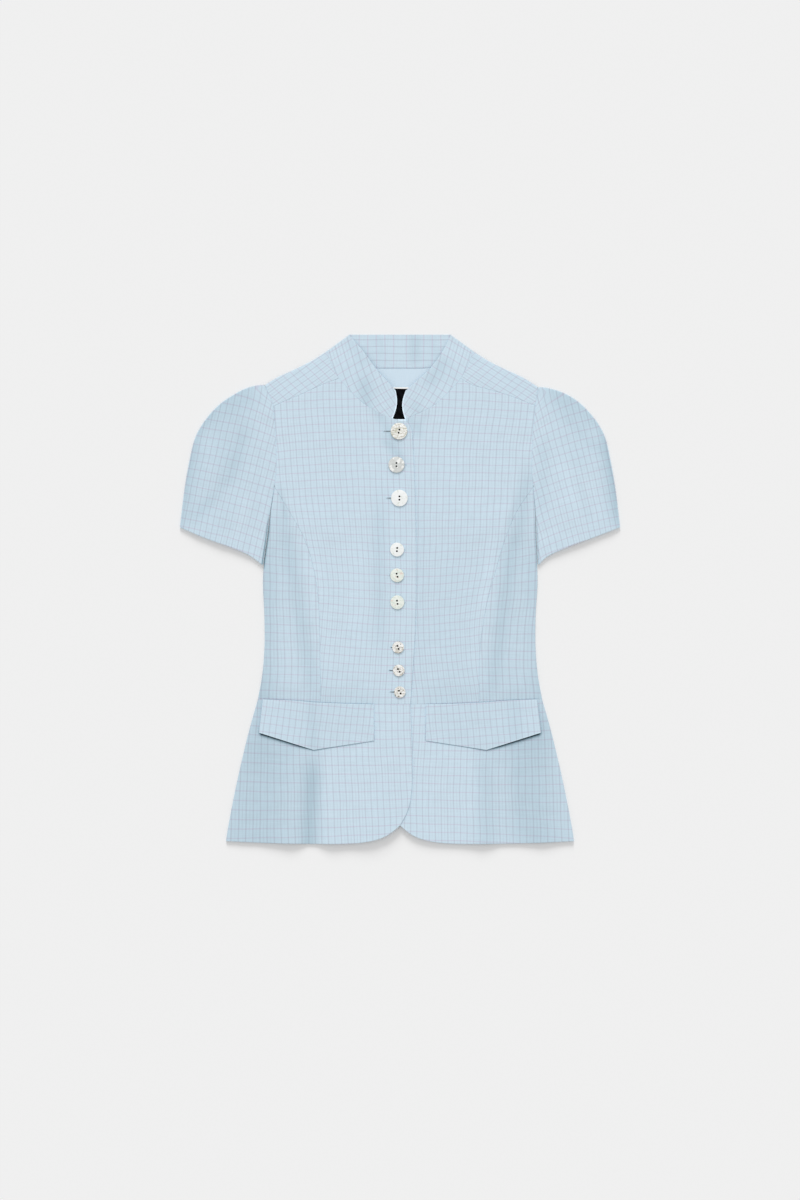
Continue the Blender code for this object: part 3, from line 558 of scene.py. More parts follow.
print("grain tables for", ", ".join(GRAIN))

# %% [markdown]
# ## From a grid to a piece of cloth
# A grid becomes quads, the quads get the grain as their UV map, and Solidify gives the shell its thickness.
# The modifier is applied, so the piece that is kept is plain mesh, with its place in its mesh and its object at
# the origin.

# %% Cloth from a grid
cloth_pieces = {}


def quads(rows, columns, turned, closed=False):
    """The faces of a grid, row by row. A closed one joins its last column to its first."""
    faces = []
    for i in range(rows - 1):
        for j in range(columns if closed else columns - 1):
            k = (j + 1) % columns
            face = (i * columns + j, (i + 1) * columns + j, (i + 1) * columns + k, i * columns + k)
            faces.append(face[::-1] if turned else face)
    return faces


def apply_modifiers(obj):
    """Apply every modifier of an object, and smooth its mesh where it bends gently."""
    bpy.ops.object.select_all(action="DESELECT")
    bpy.context.view_layer.objects.active = obj
    obj.select_set(True)
    for modifier in list(obj.modifiers):
        bpy.ops.object.modifier_apply(modifier=modifier.name)
    bpy.ops.object.shade_smooth_by_angle(angle=math.radians(50))
    obj.select_set(False)


def cloth(name, points, faces, grain, painted_shade_and_rim, thickness=CLOTH, offset=-1):
    """A thin shell through the points. Offset -1 puts its thickness below them, 0 on both sides."""
    mesh = bpy.data.meshes.new(name)
    mesh.from_pydata(points.reshape(-1, 3).tolist(), [], faces)
    corners = np.empty(len(mesh.loops), np.int32)
    mesh.loops.foreach_get("vertex_index", corners)
    grain = grain.reshape(-1, 2)
    waver = 0.22 * MM * np.sin(grain[:, ::-1] / (8.7 * MM) + grain / (13.3 * MM))
    mesh.uv_layers.new(name="grain").data.foreach_set("uv", (grain + waver)[corners].ravel())
    # Each point carries a painted shade: darker in creases, slits and gaps, with a few painted highlights and the pale
    # rims at the collar's ends. The material multiplies the colour by it.
    mesh.attributes.new("painted_shade_and_rim", "FLOAT", "POINT").data.foreach_set("value", painted_shade_and_rim.ravel().astype(np.float32))
    obj = bpy.data.objects.new(name, mesh)
    bpy.context.scene.collection.objects.link(obj)
    shell = obj.modifiers.new("thickness", "SOLIDIFY")
    shell.thickness = thickness
    shell.offset = offset
    shell.use_even_offset = True
    apply_modifiers(obj)
    cloth_pieces[name] = obj
    heights = [vertex.co.z / MM for vertex in obj.data.vertices]
    print(f"{name}: {len(obj.data.polygons)} faces, {min(heights):.2f} to {max(heights):.2f} mm high")


def cut_of(grid, layers=1):
    """Width and length of the rectangle a piece is cut from, and the piece's own area. layers is 2 for a tube."""
    first, second = grid[1:, 1:] - grid[:-1, :-1], grid[1:, :-1] - grid[:-1, 1:]
    area = float(np.abs(first[..., 0] * second[..., 1] - first[..., 1] * second[..., 0]).sum() / 2)
    width, length = grid.reshape(-1, 2).max(axis=0) - grid.reshape(-1, 2).min(axis=0)
    return (layers * float(width), float(length)), layers * area


def panel(name, side, grid, top_surface, grain, painted_shade_and_rim, thickness=CLOTH):
    """A shell over a plan grid, whose upper face lies at the given heights."""
    sign = SIDES[side]["sign"]
    points = np.dstack([sign * grid[..., 0], grid[..., 1], top_surface])
    cloth(name, points, quads(*grid.shape[:2], turned=sign < 0), grain, painted_shade_and_rim, thickness)


# %% [markdown]
# ## Bodice fronts
# Each side has a yoke at the shoulder, a centre front and a side front, joined by the princess seam that gives
# the waist its shape. Their upper faces lie where the solids' upper faces lie.

# %% Yokes, centre fronts and side fronts
PALE_RIM = 0.45
UNDERARM_SHADE_STRENGTH = {"right": 0.6, "left": 0.25}
YOKE_TURN = {"right": (35, 44), "left": (31, 42)}
YOKE_SCALE = (1.13, 1.06)


def underarm_painted_shade(side, up, distance):
    """Painted shade of the dark slit where a sleeve lies against the side: how much darker the cloth is painted at this
    distance from it.
    """
    slit = ease(108 * MM - up, 0, 40 * MM) * ease(up, 24 * MM, 30 * MM)
    return UNDERARM_SHADE_STRENGTH[side] * slit * np.exp(-((distance / (1.3 * MM)) ** 2))


def waist_painted_shade(out, up):
    """The bodice sinks towards the waist seam, and a little painted shade darkens it there."""
    return 0.05 * np.exp(-(((up + 149 * MM) / (32 * MM)) ** 2)) * ease(out, 0, 60 * MM)


def front_surface(side, grid, kinds):
    """Height of a front panel's upper face, and its painted shade."""
    out, up = grid[..., 0], grid[..., 1]
    crease, painted_shade_and_rim = strokes(CREASES, side, out, up)
    wave = ripple(SIDES[side]["sign"] * out, up)
    return lapped(side, out, up) + WALL + crease + wave + edge_relief(grid, kinds), painted_shade_and_rim


def front_panel(kind, side, grid, edges, columns, shade=0.0):
    """Lay one panel of a front on its solid, darker by a painted shade."""
    out, up = grid[..., 0], grid[..., 1]
    top, painted_shade_and_rim = front_surface(side, grid, edges)
    if kind == "yoke":
        grain = turned_grain(out, up, *YOKE_TURN[side], YOKE_SCALE)
    else:
        grain = led_grain(f"{kind}_{side}", out, up, columns)
    panel(f"{kind}_{side}_cloth", side, grid, top, grain, painted_shade_and_rim - shade)


for side, seam in seam_lines.items():
    edges = [seam[name] for name in ("shoulder", "yoke_seam", "neck_of_yoke", "armhole_of_yoke")]
    columns, rows = divisions(edges[0]), divisions(edges[3])
    front_panel("yoke", side, inset(coons(*edges, columns, rows)), ("side", "seam", "seam", "seam"), columns)

    top_parts = (seam["stub"], seam["neck_of_front"], seam["yoke_seam"])
    outer_parts = (seam["armhole"], seam["princess"])
    columns, rows = divisions(*top_parts), divisions(*outer_parts)
    edges = (joined(*top_parts), seam["waist_front"], seam["front_edge"], joined(*outer_parts))
    grid = inset(coons(*edges, columns, rows), inner=False)
    bare = ease(3.5 * MM - grid[..., 0], 0, 2 * MM) * ease(grid[..., 1], 218.3 * MM, 219.3 * MM)
    # Painted shade towards the waist seam, and a pale rim at the top corner of the front, by the collar's end.
    shade = waist_painted_shade(grid[..., 0], grid[..., 1]) - PALE_RIM * bare
    front_panel("front", side, grid, ("seam", "seam", "free", "seam"), columns, shade)

    edges = (np.array([seam["princess"][0], seam["side"][0]]), seam["waist_side"], seam["princess"], seam["side"])
    columns, rows = divisions(edges[1]), divisions(edges[3])
    grid = inset(coons(*edges, columns, rows), outer=False)
    # Painted shade of the slit under the sleeve, and towards the waist seam.
    shade = underarm_painted_shade(side, grid[..., 1], edge_distances(grid)[3]) + waist_painted_shade(grid[..., 0], grid[..., 1])
    front_panel("side_front", side, grid, ("seam", "seam", "seam", "side"), columns, shade)

# %% [markdown]
# ## Peplum fronts and pocket flaps
# The peplum hangs from the waist seam in soft folds, and is rounded at the front opening. The pointed flap is
# caught in the same seam and lies on the peplum. It is faced, so it is twice as thick, and its outer corner
# stands a little off the cloth and throws the dark line that the photograph shows.
# A painted shadow on the peplum under the flap's lower edge makes that line darker, and the flap carries painted shade
# and a painted highlight along the lower edge of its outer part.

# %% Peplum fronts and flaps
LIFTED_CORNER = FLAP_STANDOFF + 0.9 * MM
# Painted shade on the flaps: rows as for the creases, with no height.
FLAP_PAINTED_SHADES = (
    ("right", 114, -120, 112, -235, 8, 0, -0.05),
    ("right", 110, -120, 110, -235, 90, 0, -0.03),
    ("left", 148, -120, 152, -225, 10, 0, -0.04),
    ("left", 110, -120, 110, -235, 90, 0, -0.03),
)
FLAP_FOOT = ((34, 112, 183), (-197, -209, -186.5))
# Fine rows where the painted shadow under the flap lies.
FINE_UNDER_FLAP = np.linspace(0.2, 0.38, 52)


def flap_painted_shadow(out, up):
    """Painted shadow in the gap under a flap's lower edge: thin at the inner half, open and nearly black at the outer
    one.
    """
    below = np.interp(out / MM, *FLAP_FOOT) * MM - up
    reach = np.interp(out / MM, (34, 112, 128, 183), (0.5, 0.8, 2.0, 2.6)) * MM
    strength = np.interp(out / MM, (33, 35, 108, 128, 181, 183.5), (0, 0.3, 0.5, 0.95, 0.95, 0))
    return strength * np.exp(-((np.maximum(below, 0) / reach) ** 2)) * ease(below, -8 * MM, -4 * MM)


for side, seam in seam_lines.items():
    edges = (joined(seam["waist_front"], seam["waist_side"]), line(HEM), line(PEPLUM_EDGE), line(PEPLUM_SIDE))
    columns, rows = divisions(edges[1]), np.union1d(divisions(edges[3]), FINE_UNDER_FLAP)
    grid = inset(coons(*edges, columns, rows), foot=False, inner=False, outer=False)
    front_panel("peplum_front", side, grid, ("seam", "free", "free", "side"), columns,
                flap_painted_shadow(grid[..., 0], grid[..., 1]))

    inner, outer = line(FLAP_INNER_EDGE), line(FLAP_OUTER_EDGE)
    foot_parts = (line((FLAP_INNER_EDGE[-1], FLAP_TIP)), line((FLAP_TIP, FLAP_OUTER_EDGE[-1])))
    top_edge = np.linspace(inner[0], outer[0], 80)
    top_edge[:, 1] = np.interp(top_edge[:, 0], *line(WAIST).T)
    inner[0], outer[0] = top_edge[0], top_edge[-1]
    columns, rows = divisions(*foot_parts), divisions(inner)
    grid = inset(coons(top_edge, joined(*foot_parts), inner, outer, columns, rows))
    out, up = grid[..., 0], grid[..., 1]
    under = lapped(side, out, up) + WALL + FLAP_GAP + LIFTED_CORNER * ease(out, 90 * MM, 150 * MM) * rows[:, None]
    wave = ripple(SIDES[side]["sign"] * out, up + 40 * MM)
    top = under + WALL + wave + edge_relief(grid, ("seam", "free", "free", "free"))
    # The flap's painted shade only darkens it, and a painted highlight lightens the lower edge of its outer part.
    painted_shade_and_rim = 1 + np.minimum(strokes(FLAP_PAINTED_SHADES, side, out, up)[1] - 1, 0)
    painted_edge_highlight = (1 - ease(edge_distances(grid)[1], 0.6 * MM, 1.3 * MM)) * ease(out, 95 * MM, 130 * MM)
    grain = led_grain(f"flap_{side}", out, up, columns)
    panel(f"flap_{side}_cloth", side, grid, top, grain, painted_shade_and_rim + 0.12 * painted_edge_highlight, thickness=WALL)

# %% [markdown]
# ## Back bodice and back peplum
# The back lies flat under the fronts. It shows inside the neck, below the rounded fronts and from underneath,
# so it has its own grain and a few low creases, but it stays thin and close to the surface.

# %% Back pieces
BACK_CREASES = (  # side, out and up at the top, out and up at the foot, half width, height
    ("right", 60, 250, 90, 60, 18, 0.3),
    ("left", 96, 240, 60, 20, 22, 0.25),
    ("right", 130, 90, 100, -140, 16, 0.3),
    ("left", 120, 60, 140, -130, 14, 0.3),
    ("right", 20, 60, 34, -140, 20, 0.2),
    ("left", 60, -155, 72, -345, 16, 0.35),
    ("right", 90, -155, 104, -345, 18, 0.35),
    ("right", 160, -160, 184, -345, 14, 0.3),
    ("left", 150, -160, 176, -345, 16, 0.3),
)
BACK_SHELL = 0.5 * MM
BACK_TOP = 0.56 * MM


def back_piece(name, piece, edges_of):
    """Both halves as one sheet, each made from the centre line outwards and joined along it."""
    halves = []
    for side, rows in SIDES.items():
        top, foot, outer = edges_of(side)
        inner = np.array([top[0], foot[0]])
        columns, rows_down = divisions(top), np.linspace(0, 1, 2 + round(travelled(inner)[-1] / CELL))
        grid = coons(top, foot, inner, outer, columns, rows_down)
        out, up = grid[..., 0], grid[..., 1]
        height = BACK_TOP + folds(BACK_CREASES, side, out, up)
        grain = led_grain(piece, out, up, columns) * (rows["sign"], 1)
        halves.append(np.dstack([rows["sign"] * out, up, height, grain]))
    both = np.concatenate([halves[0][:, ::-1], halves[1][:, 1:]], axis=1)
    plain = np.ones(both.shape[:2])
    cloth(name, both[..., :3], quads(*plain.shape, turned=False), both[..., 3:], plain, BACK_SHELL)


def bodice_edges(side):
    """Top, waist and outer edge of half of the back bodice."""
    seam = seam_lines[side]
    waist = seam["waist_front"][seam["waist_front"][:, 0] > 0]
    waist = joined(np.vstack([[0, waist[0, 1]], waist]), seam["waist_side"])
    return (joined(line(BACK_NECK), seam["shoulder"]), waist,
            joined(seam["armhole_of_yoke"], seam["armhole"], seam["side"]))


def peplum_edges(side):
    """Waist, hem and side of half of the back peplum."""
    return bodice_edges(side)[1], line(BACK_HEM), line(PEPLUM_SIDE)


back_piece("back_bodice_cloth", "back", bodice_edges)
back_piece("peplum_back_cloth", "back_peplum", peplum_edges)

# %% [markdown]
# ## Sleeves
# A sleeve lies flat as a tube: the upper layer runs from the armhole to the folded edge, turns under, and comes
# back below. At the cuff and along the armhole the tube is open. Above the underarm the two layers are sewn to the
# front and to the back, so they aren't joined to each other there.

# %% Sleeve tables and folded edges
UNDERARM_SHOWN = {
    "right": ((163, 132.5), (168.7, 100), (172.3, 70), (176, 44), (177.9, 31)),
    "left": ((173, 132.5), (176, 100), (177.2, 70), (178.4, 44), (179.2, 31)),
}
# Rows as for the fronts: the last column is a painted shade.
SLEEVE_CREASES = (
    ("right", 196, 225, 224, 125, 9, -0.6, -0.045),
    ("right", 214, 155, 276, 78, 9, -0.6, -0.05),
    ("right", 250, 200, 234, 105, 12, 0.25, 0.015),
    ("right", 262, 225, 288, 60, 14, -0.3, -0.07),
    ("right", 176, 270, 272, 204, 15, 0, -0.07),
    ("right", 226, 280, 238, 30, 60, 0, -0.03),
    ("right", 190, 290, 246, 120, 26, 0, -0.03),
    ("left", 196, 290, 250, 140, 24, 0, -0.035),
    ("right", 178, 190, 190, 90, 6, -0.4, -0.01),
    ("right", 196, 130, 214, 50, 8, 0.5, 0.02),
    ("right", 240, 252, 268, 190, 7, -0.2, -0.03),
    ("left", 188, 215, 182, 70, 9, -0.5, -0.045),
    ("left", 199, 236, 270, 168, 7, -0.4, -0.03),
    ("left", 204, 176, 234, 84, 10, 0.7, 0.03),
    ("left", 264, 230, 290, 60, 13, -0.4, -0.14),
    ("left", 178, 268, 272, 204, 13, 0, -0.07),
    ("left", 226, 160, 250, 70, 6, -0.4, -0.02),
    ("left", 240, 150, 262, 80, 7, 0.4, 0.01),
)


TURNS = np.linspace(np.pi / 2, -np.pi / 2, 7)[1:-1]
TURN_BULGE = FOLD_RADIUS * np.cos(TURNS)[None, :, None]
TURN_HEIGHT = LOW_LAYER + FOLD_RADIUS * (1 + np.sin(TURNS))


def rolled(edge, neighbour):
    """An edge that folds over: its points drawn back along the grid, and the unit normals out of the fold."""
    out = -inward(edge, neighbour)
    way = neighbour - edge
    return edge + way * ((FOLD_RADIUS + CLOTH / 2) / -(way * out).sum(axis=1))[:, None], out


def followed(distance, shift):
    """How a grid follows its moved edge: wholly beside it, and not at all 8 mm away."""
    return np.clip(1 - distance / (8 * MM), 0, 1)[..., None] * shift[:, None]


print(sum(len(table) for table in (SLEEVE_FOLDS, SLEEVE_CREASES)), "folds and creases on the sleeves")

# %% [markdown]
# ## The tube of a sleeve
# The sleeve could be two sheets, but a real one turns round at its folded edge. So one ring of points goes over the
# upper layer, round the fold, back under and round the underarm. Faces along the armhole are left out, which opens it.

# %% Sleeves
def sleeve_plan(side):
    """The flat grid of one layer, its columns and rows, and the row where the underarm begins."""
    seam = seam_lines[side]
    armhole = joined(seam["armhole_of_yoke"], seam["armhole"])
    armhole = read(armhole, np.linspace(SLEEVE_TIP / travelled(armhole)[-1], 1, 120))
    underarm = line(UNDERARM_SHOWN[side])
    inner = joined(armhole, underarm)
    cap, cuff = line(SIDES[side]["cap"]), line(SIDES[side]["cuff"])
    cap = cap[int(np.argmax(np.linalg.norm(cap - cap[0], axis=1) > SLEEVE_TIP)):]
    columns, down = divisions(cuff), divisions(armhole, underarm)
    open_rows = int(np.argmin(abs(down - travelled(armhole)[-1] / travelled(inner)[-1])))
    return coons(np.array([armhole[0], cap[0]]), cuff, inner, cap, columns, down), columns, down, open_rows


def sleeve(side):
    """One sleeve: a ring of points over its upper layer, round the fold and back underneath."""
    sign = SIDES[side]["sign"]
    flat, columns, down, open_rows = sleeve_plan(side)
    to_inner, to_outer = edge_distances(flat)[2:]
    seam_drop = roll(to_inner, *GROOVE)
    seam_drop[open_rows:] = 0
    inner, inner_out = rolled(flat[:, 0], flat[:, 3])
    outer, outer_out = rolled(flat[:, -1], flat[:, -4])
    inner[:open_rows] = flat[:open_rows, 0] - SEWN_GAP / 2 * inner_out[:open_rows]
    plan = flat + followed(to_inner, inner - flat[:, 0]) + followed(to_outer, outer - flat[:, -1])

    out, up = plan[..., 0], plan[..., 1]
    share, fall = columns[None, :], down[:, None]
    across = (4 * share * (1 - share)) ** 0.7
    dome = across * (0.25 + 0.75 * np.sin(np.pi * (0.1 + 0.8 * fall)))
    crease, painted_shade_and_rim = strokes(SLEEVE_CREASES, side, out, up)
    # Painted shade of the slit where the sleeve lies against the side.
    painted_shade_and_rim = painted_shade_and_rim - underarm_painted_shade(side, up, edge_distances(plan)[2])
    # Painted shade along the sleeve's outer folded edge, fading within about 10 mm of it.
    painted_shade_and_rim = painted_shade_and_rim - 0.05 * np.exp(-((edge_distances(plan)[3] / (5 * MM)) ** 2))
    relief = folds(SLEEVE_FOLDS, side, out, up) * ease(across, 0, 0.6) * ease(fall, 0, 0.2)
    relief = relief + (crease + ripple(sign * out, up)) * ease(across, 0, 0.5)
    upper = LOW_LAYER + 2 * FOLD_RADIUS + np.maximum(SLEEVE_CROWN * dome + relief, 0)
    upper = upper + edge_relief(flat, ("", "free", "", "")) - seam_drop

    turn_height = np.broadcast_to(TURN_HEIGHT, (len(down), len(TURNS)))
    ring = np.concatenate([plan[:, ::-1], plan[:, :1] + TURN_BULGE * inner_out[:, None], plan,
                           plan[:, -1:] + TURN_BULGE[:, ::-1] * outer_out[:, None]], axis=1)
    heights = np.concatenate([upper[:, ::-1], turn_height, np.full(out.shape, LOW_LAYER), turn_height[:, ::-1]], axis=1)
    led = led_grain(f"sleeve_{side}", out, up, columns)
    grain = np.concatenate([led[:, ::-1], led[:, [0] * len(TURNS)], led, led[:, [-1] * len(TURNS)]], axis=1)
    plain = np.ones(turn_height.shape)
    painted_shade_and_rim = np.concatenate([painted_shade_and_rim[:, ::-1], plain, np.ones(out.shape), plain], axis=1)
    points = np.dstack([ring[..., 0] * sign, ring[..., 1], heights]).reshape(-1, 3)

    around = heights.shape[1]
    turning = range(len(columns) - 1, len(columns) + len(TURNS))
    faces = [face for number, face in enumerate(quads(len(down), around, sign < 0, closed=True))
             if number // around >= open_rows or number % around not in turning]
    used = sorted({corner for face in faces for corner in face})
    renumber = {old: new for new, old in enumerate(used)}
    faces = [tuple(renumber[corner] for corner in face) for face in faces]
    cloth(f"sleeve_{side}_cloth", points[used], faces, grain.reshape(-1, 2)[used], painted_shade_and_rim.ravel()[used], offset=0)


for side in SIDES:
    sleeve(side)

# %% [markdown]
# ## Stand collar
# The collar is one straight band that stands round the neck. Laid flat, it folds at both sides: its back half lies
# inside up on the surface, and its two front halves lie on the fronts and nearly meet at the centre.

# %% Collar
COLLAR_END = {  # how far a front end is moved at its base and its top, and how far it bows
    "right": (3.1 * MM, -0.5 * MM, 3.7 * MM),
    "left": (-0.2 * MM, 1.2 * MM, 4.2 * MM),
}
UP_THE_BAND = divisions(np.array([[0, 0], [46 * MM, 0]]))


def band(base, top, columns):
    """A grid from a base line to a top line, drawn back from the seam at its base."""
    share = UP_THE_BAND[:, None, None]
    return (1 - share) * read(base, columns)[None] + share * read(top, columns)[None]


def collar_plans(side):
    """The flat grids of the front half and the back half of one side, and the ways out of their fold."""
    seam, back_neck = seam_lines[side], line(BACK_NECK)
    neck = joined(seam["neck_of_yoke"], seam["neck_of_front"][::-1])
    front = band(neck, line(SIDES[side]["collar_top"]), divisions(neck))
    at_base, at_top, bow = COLLAR_END[side]
    shift = at_base + (at_top - at_base) * UP_THE_BAND - bow * np.sin(np.pi * UP_THE_BAND)
    front[..., 0] += shift[:, None] * ease(divisions(neck)[None, :], 0.6, 1)
    back = band(back_neck, line(BACK_COLLAR_TOP), divisions(back_neck)[::-1])
    drawn = []
    for half in (front, back):
        half[0] += SEWN_GAP / 2 * inward(half[0], half[1])
        edge, way_out = rolled(half[:, 0], half[:, 3])
        drawn.append(half + followed(edge_distances(half)[2], edge - half[:, 0]))
    return *drawn, way_out


def collar_half(side):
    """Points, grain and painted shade of one side, from the front end round the fold to the centre back, and its area.
    The front end has a pale rim.
    """
    sign = SIDES[side]["sign"]
    front, back, way_out = collar_plans(side)
    out, up = front[..., 0], front[..., 1]
    crease, painted_shade_and_rim = strokes(COLLAR_CREASES, side, out, up)
    height = lapped(side, out, up) + WALL / 2 + edge_relief(front, ("seam", "free", "", "free"))
    height = height + crease + ripple(sign * out, up)
    folded = LOW_LAYER + 2 * FOLD_RADIUS
    height = folded + (height - folded) * ease(edge_distances(front)[2], 0, 6 * MM)
    part = (1 + np.sin(TURNS))[None, :, None] / 2
    edge = part * front[:, :1] + (1 - part) * back[:, :1] + TURN_BULGE * way_out[:, None]
    edge_height = np.broadcast_to(TURN_HEIGHT, edge.shape[:2])
    back_height = LOW_LAYER - 0.5 * roll(edge_distances(back)[0], *GROOVE)
    plan = np.concatenate([front[:, ::-1], edge, back], axis=1)
    heights = np.concatenate([height[:, ::-1], edge_height, back_height], axis=1)

    drift = np.interp(up / MM, (220, 238, 258, 278, 300, 330), (49.5, 36, 23.5, 15, 8, 0)) * MM
    front_grain = np.dstack([(out + drift) * 0.88, (up + 0.6 * out) * 0.88])
    back_grain = np.dstack([back[..., 1] * 0.9, back[..., 0] * 0.94])
    back_grain = back_grain + (front_grain[:, :1] - back_grain[:, :1])[len(UP_THE_BAND) // 2]
    edge_grain = part * front_grain[:, :1] + (1 - part) * back_grain[:, :1]
    grain = np.concatenate([front_grain[:, ::-1], edge_grain, back_grain], axis=1)
    painted_shade_and_rim = painted_shade_and_rim + PALE_RIM * (1 - ease(edge_distances(front)[3], 0.8 * MM, 1.5 * MM))
    # Painted shade on the back half of the collar.
    back_painted_shade = strokes(COLLAR_BACK_PAINTED_SHADES, side, back[..., 0], back[..., 1])[1]
    painted_shade_and_rim = np.concatenate([painted_shade_and_rim[:, ::-1], np.ones(edge_height.shape), back_painted_shade], axis=1)
    points = np.dstack([plan[..., 0] * sign, plan[..., 1], heights])
    return points, grain, painted_shade_and_rim, cut_of(front)[1] + cut_of(back)[1]


halves = [collar_half(side) for side in SIDES]
points, grain, painted_shade_and_rim = [np.concatenate([halves[0][k], halves[1][k][:, ::-1][:, 1:]], axis=1) for k in range(3)]
cloth("collar_cloth", points, quads(*painted_shade_and_rim.shape, turned=False), grain, painted_shade_and_rim, offset=0)

# %% [markdown]
# ## Neck lining and label
# Inside the back neck a plain half-moon facing carries the woven label. The label is plain black here: it is
# finished as a real satin-woven label is, and carries no words.

# %% Lining and label
LABEL_EDGE = 3.4 * MM


def inner_sheet(name, plan, top):
    """A flat sheet inside the neck."""
    cloth(name, np.dstack([plan, top]), quads(*top.shape, turned=False), plan, np.ones(top.shape), 0.5 * MM)


across = np.linspace(-LINING_HALF_WIDTH, LINING_HALF_WIDTH, 50)
top_edge = np.interp(abs(across), *line(BACK_NECK).T) - SEAM_GAP
rim = top_edge[-1] - 4 * MM
low_edge = rim - (rim - LINING_LOW) * np.sqrt(np.clip(1 - (across / LINING_HALF_WIDTH) ** 2, 0, 1))
fall = np.linspace(0, 1, 40)[:, None]
plan = np.dstack([np.broadcast_to(across, (40, 50)), top_edge + fall * (low_edge - top_edge)])
sag = 0.12 * MM * (1 + np.sin(plan[..., 0] / (9 * MM) + 0.6))
inner_sheet("back_neck_lining_cloth", plan, WALL + LAYER_GAP + LINING_WALL - sag)

label_across = np.linspace(-LABEL_HALF_WIDTH, LABEL_HALF_WIDTH, 16)
label_up = np.linspace(LABEL_RANGE[1] + LABEL_EDGE, LABEL_RANGE[0], 28)
plan = np.dstack(np.meshgrid(label_across, label_up))
sag = 0.1 * MM * (1 + np.sin(plan[..., 1] / (6 * MM)))
inner_sheet("neck_label_cloth", plan, WALL + 2 * LAYER_GAP + LINING_WALL + 1.0 * MM - sag)

# %% [markdown]
# ## Shell buttons
# A shell button is turned on a lathe: a flat disc, a raised rim and a shallow dish with two drilled holes. One is
# modelled in each of the three sizes with Blender's tools, a cylinder whose face is inset and pushed down, bevelled
# and then drilled. It is copied to each place, fitted to the button's own size.

# %% A turned button
BUTTON_TURN = (-12, 0, 0, -5, 17, 9, 20, 30, 31)
HOLE_FROM_CENTRE = 2.1 * MM
HOLE_WIDTH = 2.5 * MM


def select_faces(mesh, wanted):
    """Select the faces whose centre and normal pass a test, in edit mode."""
    bpy.ops.mesh.select_all(action="DESELECT")
    edit = bmesh.from_edit_mesh(mesh)
    for face in edit.faces:
        face.select_set(bool(wanted(face.calc_center_median(), face.normal)))
    edit.select_flush_mode()
    bmesh.update_edit_mesh(mesh)


def start_primitive(add, name, **settings):
    """Add one primitive with nothing else selected, and name it."""
    bpy.ops.object.select_all(action="DESELECT")
    add(**settings)
    obj = bpy.context.active_object
    obj.name = obj.data.name = name
    return obj


def inset_flat(obj, towards, *steps):
    """Inset the faces that look up (1) or down (-1), once for each thickness and depth."""
    bpy.ops.object.mode_set(mode="EDIT")
    select_faces(obj.data, lambda centre, normal: towards * normal.z > 0.9)
    for thickness, depth in steps:
        bpy.ops.mesh.inset(thickness=thickness, depth=depth)
    bpy.ops.object.mode_set(mode="OBJECT")


def worn_edges(obj, width, segments, angle):
    """Bevel the edges that turn by more than an angle in degrees, and apply it."""
    edges = obj.modifiers.new("worn edges", "BEVEL")
    edges.width, edges.segments, edges.angle_limit = width, segments, math.radians(angle)
    apply_modifiers(obj)


def turned_button(name, diameter):
    """A disc with a raised rim and a shallow dish, hollow below, drilled twice."""
    radius = diameter / 2 * MM
    button = start_primitive(bpy.ops.mesh.primitive_cylinder_add, name, vertices=64, radius=radius, depth=BUTTON_THICK)
    inset_flat(button, 1, (0.14 * radius, 0), (0.16 * radius, -0.35 * MM), (0.2 * radius, -0.05 * MM))
    inset_flat(button, -1, (0.3 * radius, 0.3 * MM))
    worn_edges(button, 0.45 * MM, 3, 14)
    for place in (-HOLE_FROM_CENTRE, HOLE_FROM_CENTRE):
        drill = start_primitive(bpy.ops.mesh.primitive_cylinder_add, "drill", vertices=20, radius=HOLE_WIDTH / 2,
                                depth=4 * BUTTON_THICK, location=(0, place, 0))
        hole = button.modifiers.new("hole", "BOOLEAN")
        hole.object, hole.operation, hole.solver = drill, "DIFFERENCE", "EXACT"
        apply_modifiers(button)
        bpy.data.objects.remove(drill, do_unlink=True)
    return button


def copied(pattern, name):
    """A copy of a pattern piece, with its own mesh."""
    made = pattern.copy()
    made.data = pattern.data.copy()
    made.name = made.data.name = name
    bpy.context.scene.collection.objects.link(made)
    return made


def button_seat(across, up, diameter):
    """Height of the cloth under a button, where it touches first."""
    turn = np.linspace(0, 2 * np.pi, 16, endpoint=False)
    radius = diameter / 2 * MM
    under = lapped("right", -across * MM + radius * np.cos(turn), up * MM + radius * np.sin(turn))
    return float(under.max()) + WALL + LAYER_GAP


def set_in_place(obj, number, height, size=1.0):
    """Turn a piece of a button and put it at its place on the cloth, this far above the button's seat."""
    across, up, diameter = BUTTONS[number - 1]
    seat = button_seat(across, up, diameter)
    turn = Matrix.Rotation(math.radians(BUTTON_TURN[number - 1]), 4, "Z")
    place = Matrix.Translation((across * MM, up * MM, seat + height))
    obj.data.transform(place @ turn @ Matrix.Diagonal((size, size, 1, 1)))


buttons = {}
pattern_buttons = {size: turned_button(f"button_pattern_{size:.0f}", size) for size in (21.3, 17.9, 15.2)}
for number, (across, up, diameter) in enumerate(BUTTONS, start=1):
    size = min(pattern_buttons, key=lambda candidate: abs(candidate - diameter))
    buttons[number] = copied(pattern_buttons[size], f"shell_button_{number}")
    set_in_place(buttons[number], number, BUTTON_THICK / 2, diameter / size)
for pattern in pattern_buttons.values():
    bpy.data.objects.remove(pattern, do_unlink=True)
print(len(buttons), "buttons in", len(pattern_buttons), "sizes")

# %% [markdown]
# ## Button thread
# A sewing machine leaves a tight plug of thread in each hole of a button. One pair is made from a short cylinder:
# its top is inset, raised and dished, its edge bevelled, and the second plug is a copy at the other hole.
# The plugs sit low in the holes and are coloured near black, a painted shade for the depth of the holes.

# %% Button thread
def joined_mesh(obj, other):
    """Put another mesh into an object's mesh."""
    whole = bmesh.new()
    whole.from_mesh(obj.data)
    whole.from_mesh(other)
    whole.to_mesh(obj.data)
    whole.free()


